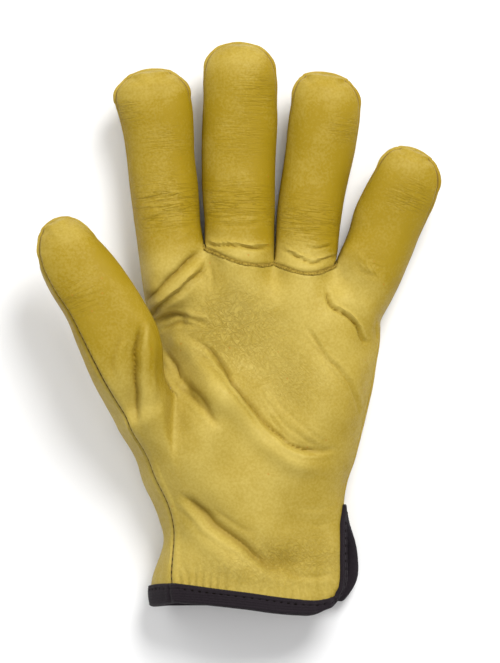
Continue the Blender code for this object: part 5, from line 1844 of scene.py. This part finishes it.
@dataclass(frozen=True)
class LeatherFinish:
    """Colours and surface of the grain leather."""

    pale: Colour = (0.455, 0.343, 0.072)
    # Paler crests: partly the leather's own lighter crests, partly a painted highlight
    crest: Colour = (0.580, 0.455, 0.120)
    deep: Colour = (0.295, 0.195, 0.005)
    # Painted shade in the hollows of folds and creases, and in the fine wrinkle lines
    hollow: Colour = (0.215, 0.130, 0.004)
    seam: Colour = (0.120, 0.052, 0.012)
    speck: Colour = (0.42, 0.15, 0.012)
    flesh: Colour = (0.36, 0.28, 0.17)
    roughness: float = 0.50
    grain_height: float = 0.16
    wrinkle_height: float = 0.55


@dataclass(frozen=True)
class TextileFinish:
    """Colours of a textile's low and high parts, its roughness and sheen."""

    low: Colour
    high: Colour
    roughness: float
    sheen: float


LEATHER = LeatherFinish()
TAPE = TextileFinish((0.005, 0.003, 0.005), (0.022, 0.015, 0.020), 0.9, 0.04)
FLEECE = TextileFinish((0.20, 0.14, 0.15), (0.44, 0.35, 0.36), 0.95, 0.3)
RAW_EDGE = TextileFinish((0.15, 0.095, 0.008), (0.33, 0.23, 0.035), 0.95, 0.0)


class Graph:
    """Adds nodes to a node tree and links them by socket name."""

    def __init__(self, tree: bpy.types.NodeTree) -> None:
        """Takes the node tree to add to."""
        self.tree = tree

    def node(self, kind: str, feeds: dict[str | int, Feed] | None = None,
             **settings: object) -> bpy.types.Node:
        """Adds a node, sets its options and feeds its inputs with links or values."""
        node = self.tree.nodes.new("ShaderNode" + kind)
        for key, value in settings.items():
            setattr(node, key, value)
        for key, value in (feeds or {}).items():
            self.feed(node.inputs[key], value)
        return node

    def feed(self, socket: bpy.types.NodeSocket, value: Feed) -> None:
        """Links a socket, or sets its own value."""
        if isinstance(value, bpy.types.NodeSocket):
            self.tree.links.new(value, socket)
        elif isinstance(value, tuple) and socket.type == "RGBA":
            socket.default_value = (*value, 1.0)
        else:
            socket.default_value = value

    def maths(self, operation: str, first: Feed, second: Feed = 0.0,
              third: Feed = 0.0) -> bpy.types.NodeSocket:
        """One arithmetic step."""
        node = self.node("Math", {0: first, 1: second}, operation=operation)
        if operation in {"MULTIPLY_ADD", "SMOOTH_MIN", "COMPARE"}:
            self.feed(node.inputs[2], third)
        return node.outputs[0]

    def scaled(self, vector: Feed, factors: Triple) -> bpy.types.NodeSocket:
        """A vector times fixed factors."""
        return self.node("VectorMath", {0: vector, 1: factors}, operation="MULTIPLY").outputs[0]

    def between(self, value: Feed, low: float, high: float, to_low: float = 0.0,
                to_high: float = 1.0) -> bpy.types.NodeSocket:
        """A value mapped smoothly from one range onto another."""
        feeds = {"Value": value, "From Min": low, "From Max": high, "To Min": to_low,
                 "To Max": to_high}
        return self.node("MapRange", feeds, interpolation_type="SMOOTHSTEP").outputs[0]

    def mix(self, share: Feed, first: Feed, second: Feed) -> bpy.types.NodeSocket:
        """Two colours mixed."""
        node = self.node("Mix", data_type="RGBA")
        for socket, value in ((node.inputs[0], share), (node.inputs[6], first),
                              (node.inputs[7], second)):
            self.feed(socket, value)
        return node.outputs[2]

    def noise(self, vector: Feed, scale: float, detail: float = 2.0,
              distortion: float = 0.0) -> bpy.types.NodeSocket:
        """Noise from about 0.3 to 0.7 on a vector."""
        feeds = {"Vector": vector, "Scale": scale, "Detail": detail, "Distortion": distortion}
        return self.node("TexNoise", feeds).outputs["Fac"]

    def attribute(self, name: str, vector: bool = False) -> bpy.types.NodeSocket:
        """A point attribute."""
        node = self.node("Attribute", attribute_name=name)
        return node.outputs["Vector" if vector else "Fac"]

    def here(self) -> bpy.types.NodeSocket:
        """The place on the object."""
        return self.node("TexCoord").outputs["Object"]


def new_group(name: str, inputs: dict[str, str], outputs: dict[str, str]) -> tuple[
        Graph, bpy.types.Node, bpy.types.Node]:
    """A node group with sockets, and its graph, input node and output node."""
    tree = bpy.data.node_groups.new(name, "ShaderNodeTree")
    for socket, kind in inputs.items():
        tree.interface.new_socket(name=socket, in_out="INPUT", socket_type="NodeSocket" + kind)
    for socket, kind in outputs.items():
        tree.interface.new_socket(name=socket, in_out="OUTPUT", socket_type="NodeSocket" + kind)
    return Graph(tree), tree.nodes.new("NodeGroupInput"), tree.nodes.new("NodeGroupOutput")


def grain_group() -> bpy.types.NodeTree:
    """Leather grain: pebbles at two sizes with creases between, as a height in millimetres."""
    graph, start, end = new_group("Leather Grain", {"Vector": "Vector"}, {"Height": "Float"})
    wander = graph.noise(start.outputs[0], 900.0, 2.0)
    moved = graph.node("VectorMath", {0: start.outputs[0], 1: wander, 2: (0.0004, 0.0004, 0.0004)},
                       operation="MULTIPLY_ADD").outputs[0]
    pebbles = graph.node("TexVoronoi", {"Vector": moved, "Scale": 1500.0},
                         feature="SMOOTH_F1").outputs["Distance"]
    large = graph.node("TexVoronoi", {"Vector": moved, "Scale": 620.0},
                       feature="SMOOTH_F1").outputs["Distance"]
    rough = graph.noise(start.outputs[0], 420.0, 4.0)
    total = graph.maths("MULTIPLY_ADD", large, -0.5, graph.maths("MULTIPLY", pebbles, -0.35))
    total = graph.maths("ADD", total, graph.maths("MULTIPLY", rough, 1.1))
    graph.feed(end.inputs["Height"], total)
    return graph.tree


def wrinkle_group() -> bpy.types.NodeTree:
    """Fine wrinkles: thin lines across the digits and a crossed net, as a mask of lines.

    A line shows where a stretched noise crosses its middle value. The net is three such
    fields at different turns.
    """
    graph, start, end = new_group("Leather Wrinkles", {
        "Flow": "Vector", "Crosswise": "Float", "Crackle": "Float"}, {"Lines": "Float"})
    flow = start.outputs["Flow"]
    lines: bpy.types.NodeSocket | None = None
    for factors, width in (((30.0, 460.0, 30.0), 0.032), ((64.0, 820.0, 64.0), 0.036)):
        field_value = graph.noise(graph.scaled(flow, factors), 1.0, 1.0, 0.25)
        gap = graph.maths("ABSOLUTE", graph.maths("SUBTRACT", field_value, 0.5))
        line = graph.between(gap, 0.0, width, 1.0, 0.0)
        lines = line if lines is None else graph.maths("MAXIMUM", lines, line)
    crosswise = graph.maths("MULTIPLY", lines, start.outputs["Crosswise"])
    net: bpy.types.NodeSocket | None = None
    nets = ((0.85, (90.0, 520.0, 60.0), 0.05), (-0.35, (110.0, 560.0, 60.0), 0.04),
            (2.1, (140.0, 640.0, 60.0), 0.04))
    for turn, factors, width in nets:
        turned = graph.node("Mapping", {"Vector": flow, "Rotation": (0.0, 0.0, turn)}).outputs[0]
        field_value = graph.noise(graph.scaled(turned, factors), 1.0, 2.0, 0.6)
        gap = graph.maths("ABSOLUTE", graph.maths("SUBTRACT", field_value, 0.5))
        line = graph.between(gap, 0.0, width, 0.8, 0.0)
        net = line if net is None else graph.maths("MAXIMUM", net, line)
    net = graph.maths("MULTIPLY", net, start.outputs["Crackle"])
    graph.feed(end.inputs["Lines"], graph.maths("MAXIMUM", crosswise, net))
    return graph.tree


def leather_material() -> bpy.types.Material:
    """Grain leather: mottled from pale to deep gold, with painted shade on right-facing sides, in
    hollows and in wrinkle lines, paler crests that are partly a painted highlight, and darker
    seams.
    """
    material, graph, shader = new_material("leather")
    here = graph.here()
    flow = graph.attribute("flow", True)
    grain = graph.node("Group", node_tree=grain_group())
    graph.feed(grain.inputs["Vector"], here)
    wrinkles = graph.node("Group", node_tree=wrinkle_group())
    graph.feed(wrinkles.inputs["Flow"], flow)
    graph.feed(wrinkles.inputs["Crosswise"], graph.attribute("crosswise"))
    graph.feed(wrinkles.inputs["Crackle"], graph.attribute("crackle"))
    lines = wrinkles.outputs["Lines"]
    hollow = graph.attribute("hollow")

    clouds = graph.between(graph.noise(here, 55.0, 4.0, 0.3), 0.38, 0.62)
    fine = graph.between(graph.noise(here, 900.0, 3.0), 0.30, 0.70)
    share = graph.maths("MULTIPLY_ADD", fine, 0.30, graph.maths("MULTIPLY", clouds, 0.22))
    # The deep tone also paints shade on right-facing sides
    share = graph.maths("MULTIPLY_ADD", graph.attribute("deep_tone_and_side_shade"), 0.8, share)
    share = graph.node("Clamp", {0: share}).outputs[0]
    colour = graph.mix(share, LEATHER.pale, LEATHER.deep)
    specks = graph.node("TexVoronoi", {"Vector": here, "Scale": 230.0}, feature="F1")
    dot = graph.between(specks.outputs["Distance"], 0.06, 0.15, 1.0, 0.0)
    chance = graph.node("SeparateColor", {0: specks.outputs["Color"]}).outputs[0]
    rare = graph.maths("GREATER_THAN", chance, 0.90)
    layers = (
        # Paler crests, partly a painted highlight
        (graph.between(hollow, -0.50, -0.04, 1.0, 0.0), 0.22, LEATHER.crest),
        # Painted shade in the hollows of folds and creases
        (graph.between(hollow, 0.05, 1.0), 0.55, LEATHER.hollow),
        # Painted shade in the fine wrinkle lines, besides their bump
        (lines, 0.40, LEATHER.hollow),
        (graph.maths("MULTIPLY", dot, rare), 0.45, LEATHER.speck),
        (graph.between(graph.attribute("seam"), 0.55, 1.0), 0.85, LEATHER.seam),
    )
    for mask, strength, tint in layers:
        colour = graph.mix(graph.maths("MULTIPLY", mask, strength), colour, tint)
    inside = graph.maths("SUBTRACT", 1.0, graph.attribute("outside"))
    colour = graph.mix(inside, colour, LEATHER.flesh)
    graph.feed(shader.inputs["Base Color"], colour)

    rough = graph.between(graph.noise(here, 300.0, 2.0), 0.3, 0.7, LEATHER.roughness - 0.06,
                          LEATHER.roughness + 0.08)
    graph.feed(shader.inputs["Roughness"], rough)
    height = graph.maths("MULTIPLY", grain.outputs[0], LEATHER.grain_height)
    height = graph.maths("SUBTRACT", height, graph.maths("MULTIPLY", lines, LEATHER.wrinkle_height))
    bump = graph.node("Bump", {"Height": height, "Strength": 0.6, "Distance": MILLIMETRE})
    graph.feed(shader.inputs["Normal"], bump.outputs[0])
    shader.inputs["Specular IOR Level"].default_value = 0.20
    return material


def tape_material() -> bpy.types.Material:
    """Knitted tape: fine rows of loops along it, matt and near black."""
    material, graph, shader = new_material("tape")
    flow = graph.attribute("flow", True)
    loops = graph.node("TexVoronoi", {"Vector": graph.scaled(flow, (1800.0, 2600.0, 1.0)),
                                      "Scale": 1.0, "Randomness": 0.35}).outputs["Distance"]
    fuzz = graph.noise(graph.here(), 1600.0, 3.0)
    share = graph.maths("MULTIPLY_ADD", fuzz, 0.5, graph.maths("MULTIPLY", loops, 0.4))
    graph.feed(shader.inputs["Base Color"], graph.mix(share, TAPE.low, TAPE.high))
    bump = graph.node("Bump", {"Height": graph.maths("SUBTRACT", fuzz, loops), "Strength": 0.7,
                               "Distance": 0.3 * MILLIMETRE})
    graph.feed(shader.inputs["Normal"], bump.outputs[0])
    dress(shader, TAPE)
    return material


def textile_material(name: str, finish: TextileFinish, scale: float) -> bpy.types.Material:
    """A fuzzy surface: noise between two colours, with a bump from the same noise."""
    material, graph, shader = new_material(name)
    fuzz = graph.noise(graph.here(), scale, 4.0)
    share = graph.between(fuzz, 0.3, 0.7)
    graph.feed(shader.inputs["Base Color"], graph.mix(share, finish.low, finish.high))
    bump = graph.node("Bump", {"Height": fuzz, "Strength": 0.8, "Distance": 0.5 * MILLIMETRE})
    graph.feed(shader.inputs["Normal"], bump.outputs[0])
    dress(shader, finish)
    return material


def dress(shader: bpy.types.Node, finish: TextileFinish) -> None:
    """Sets a textile's roughness and sheen."""
    shader.inputs["Roughness"].default_value = finish.roughness
    shader.inputs["Sheen Weight"].default_value = finish.sheen
    shader.inputs["Specular IOR Level"].default_value = 0.2


def new_material(name: str) -> tuple[bpy.types.Material, Graph, bpy.types.Node]:
    """A material, its graph and its shader."""
    material = bpy.data.materials.new(name)
    material.use_nodes = True
    return material, Graph(material.node_tree), material.node_tree.nodes["Principled BSDF"]


def thread_material() -> bpy.types.Material:
    """Dark waxed thread."""
    material, _, shader = new_material("thread")
    shader.inputs["Base Color"].default_value = (0.006, 0.004, 0.003, 1.0)
    shader.inputs["Roughness"].default_value = 0.9
    shader.inputs["Specular IOR Level"].default_value = 0.05
    return material


@dataclass(frozen=True)
class Lamp:
    """A soft lamp: name, place in metres, size in metres and power in watts."""

    name: str
    place: Triple
    size: float
    power: float


FLOOR_COLOUR = (0.86, 0.86, 0.86)
SKY_STRENGTH = 0.45
LAMPS = (
    Lamp("key", (0.42, 0.82, 1.15), 0.7, 21.5),
    Lamp("side", (-0.80, 0.60, 0.75), 0.8, 3.8),
    Lamp("top", (0.0, -0.3, 2.2), 1.6, 12.0),
)


def aim(thing: bpy.types.Object, target: Sequence[float]) -> None:
    """Turns an object so that its own -Z points at a target."""
    way = Vector(target) - thing.location
    thing.rotation_euler = way.to_track_quat("-Z", "Y").to_euler()


def build_stage() -> None:
    """Plain pale floor, soft lamps and white surroundings."""
    floor_mesh = bpy.data.meshes.new("floor")
    floor_mesh.from_pydata([(-3, -3, 0), (3, -3, 0), (3, 3, 0), (-3, 3, 0)], [], [(0, 1, 2, 3)])
    floor = bpy.data.objects.new("floor", floor_mesh)
    material, _, shader = new_material("floor")
    shader.inputs["Base Color"].default_value = (*FLOOR_COLOUR, 1.0)
    shader.inputs["Roughness"].default_value = 0.9
    floor_mesh.materials.append(material)
    bpy.context.scene.collection.objects.link(floor)
    floor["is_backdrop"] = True
    for lamp in LAMPS:
        light = bpy.data.lights.new(lamp.name, "AREA")
        light.shape = "DISK"
        light.size = lamp.size
        light.energy = lamp.power
        thing = bpy.data.objects.new(lamp.name, light)
        thing.location = lamp.place
        aim(thing, (0, 0, 0))
        bpy.context.scene.collection.objects.link(thing)
        thing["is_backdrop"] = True
    world = bpy.data.worlds.new("surroundings")
    world.use_nodes = True
    background = world.node_tree.nodes["Background"]
    background.inputs["Color"].default_value = (1, 1, 1, 1)
    background.inputs["Strength"].default_value = SKY_STRENGTH
    bpy.context.scene.world = world


def build_camera() -> None:
    """A camera straight above, whose picture covers the glove at the given size of a pixel."""
    camera = bpy.data.cameras.new("camera")
    camera.sensor_fit = "VERTICAL"
    height = PICTURE_HEIGHT * PIXEL * MILLIMETRE
    camera.angle = 2 * math.atan(0.5 * height / CAMERA_HEIGHT)
    thing = bpy.data.objects.new("camera", camera)
    thing.location = (*CAMERA_PLAN, CAMERA_HEIGHT + GLOVE_LEVEL)
    bpy.context.scene.collection.objects.link(thing)
    bpy.context.scene.camera = thing


def main() -> None:
    """Builds the glove's looks piece by piece and lights them."""
    logging.basicConfig(level=logging.INFO, format="%(message)s")
    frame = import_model()
    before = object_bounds()
    bpy.context.scene.view_settings.view_transform = "Standard"
    cage = Cage().build()
    leather = Leather.from_cage(cage)
    coarse = np.array([row[:3] for row in cage.values])
    of_back = np.unique(np.array(cage.faces)[np.array(cage.panels) == PANELS.index(Panel.BACK)])
    low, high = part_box("back_panel")
    own = coarse[of_back]
    shift = np.array((low[0] - own[:, 0].min(), high[1] - own[:, 1].max(),
                      low[2] - own[:, 2].min()))
    leather.add_relief()
    normals = point_normals(leather.points, leather.faces)
    LOG.info("shift %s, nodes %d", np.round(1000 * shift, 2), len(frame["nodes"]))

    hide = leather_material()
    tape = tape_material()
    thread = thread_material()
    names = {Panel.PALM: "palm_leather", Panel.BACK: "back_leather",
             Panel.MIDDLE: "middle_front_leather", Panel.RING: "ring_front_leather"}
    for panel, name in names.items():
        leather_shell(leather, panel, name, shift).to_object(hide)
    welt_shell(leather, normals, shift).to_object(textile_material("raw edge", RAW_EDGE, 1100.0))
    shell, spots, tangents = tape_shell(leather, normals, shift)
    shell.to_object(tape)
    stitches_shell("tape_stitches", "cuff_binding", "tape", spots, tangents,
                   THREAD_LENGTH * MILLIMETRE, 0.28 * MILLIMETRE).to_object(thread)
    seam_stitches(leather, normals, shift).to_object(thread)
    fleece_shell(leather, cage, normals, shift).to_object(
        textile_material("fleece", FLEECE, 700.0))
    build_stage()
    build_camera()
    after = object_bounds()
    {"frame": plain(before), "visual": plain(after)}


def plain(box: object) -> object:
    """Bounds as lists of plain numbers."""
    if isinstance(box, (int, float)):
        return float(box)
    return [plain(part) for part in box]


if __name__ == "__main__":
    main()
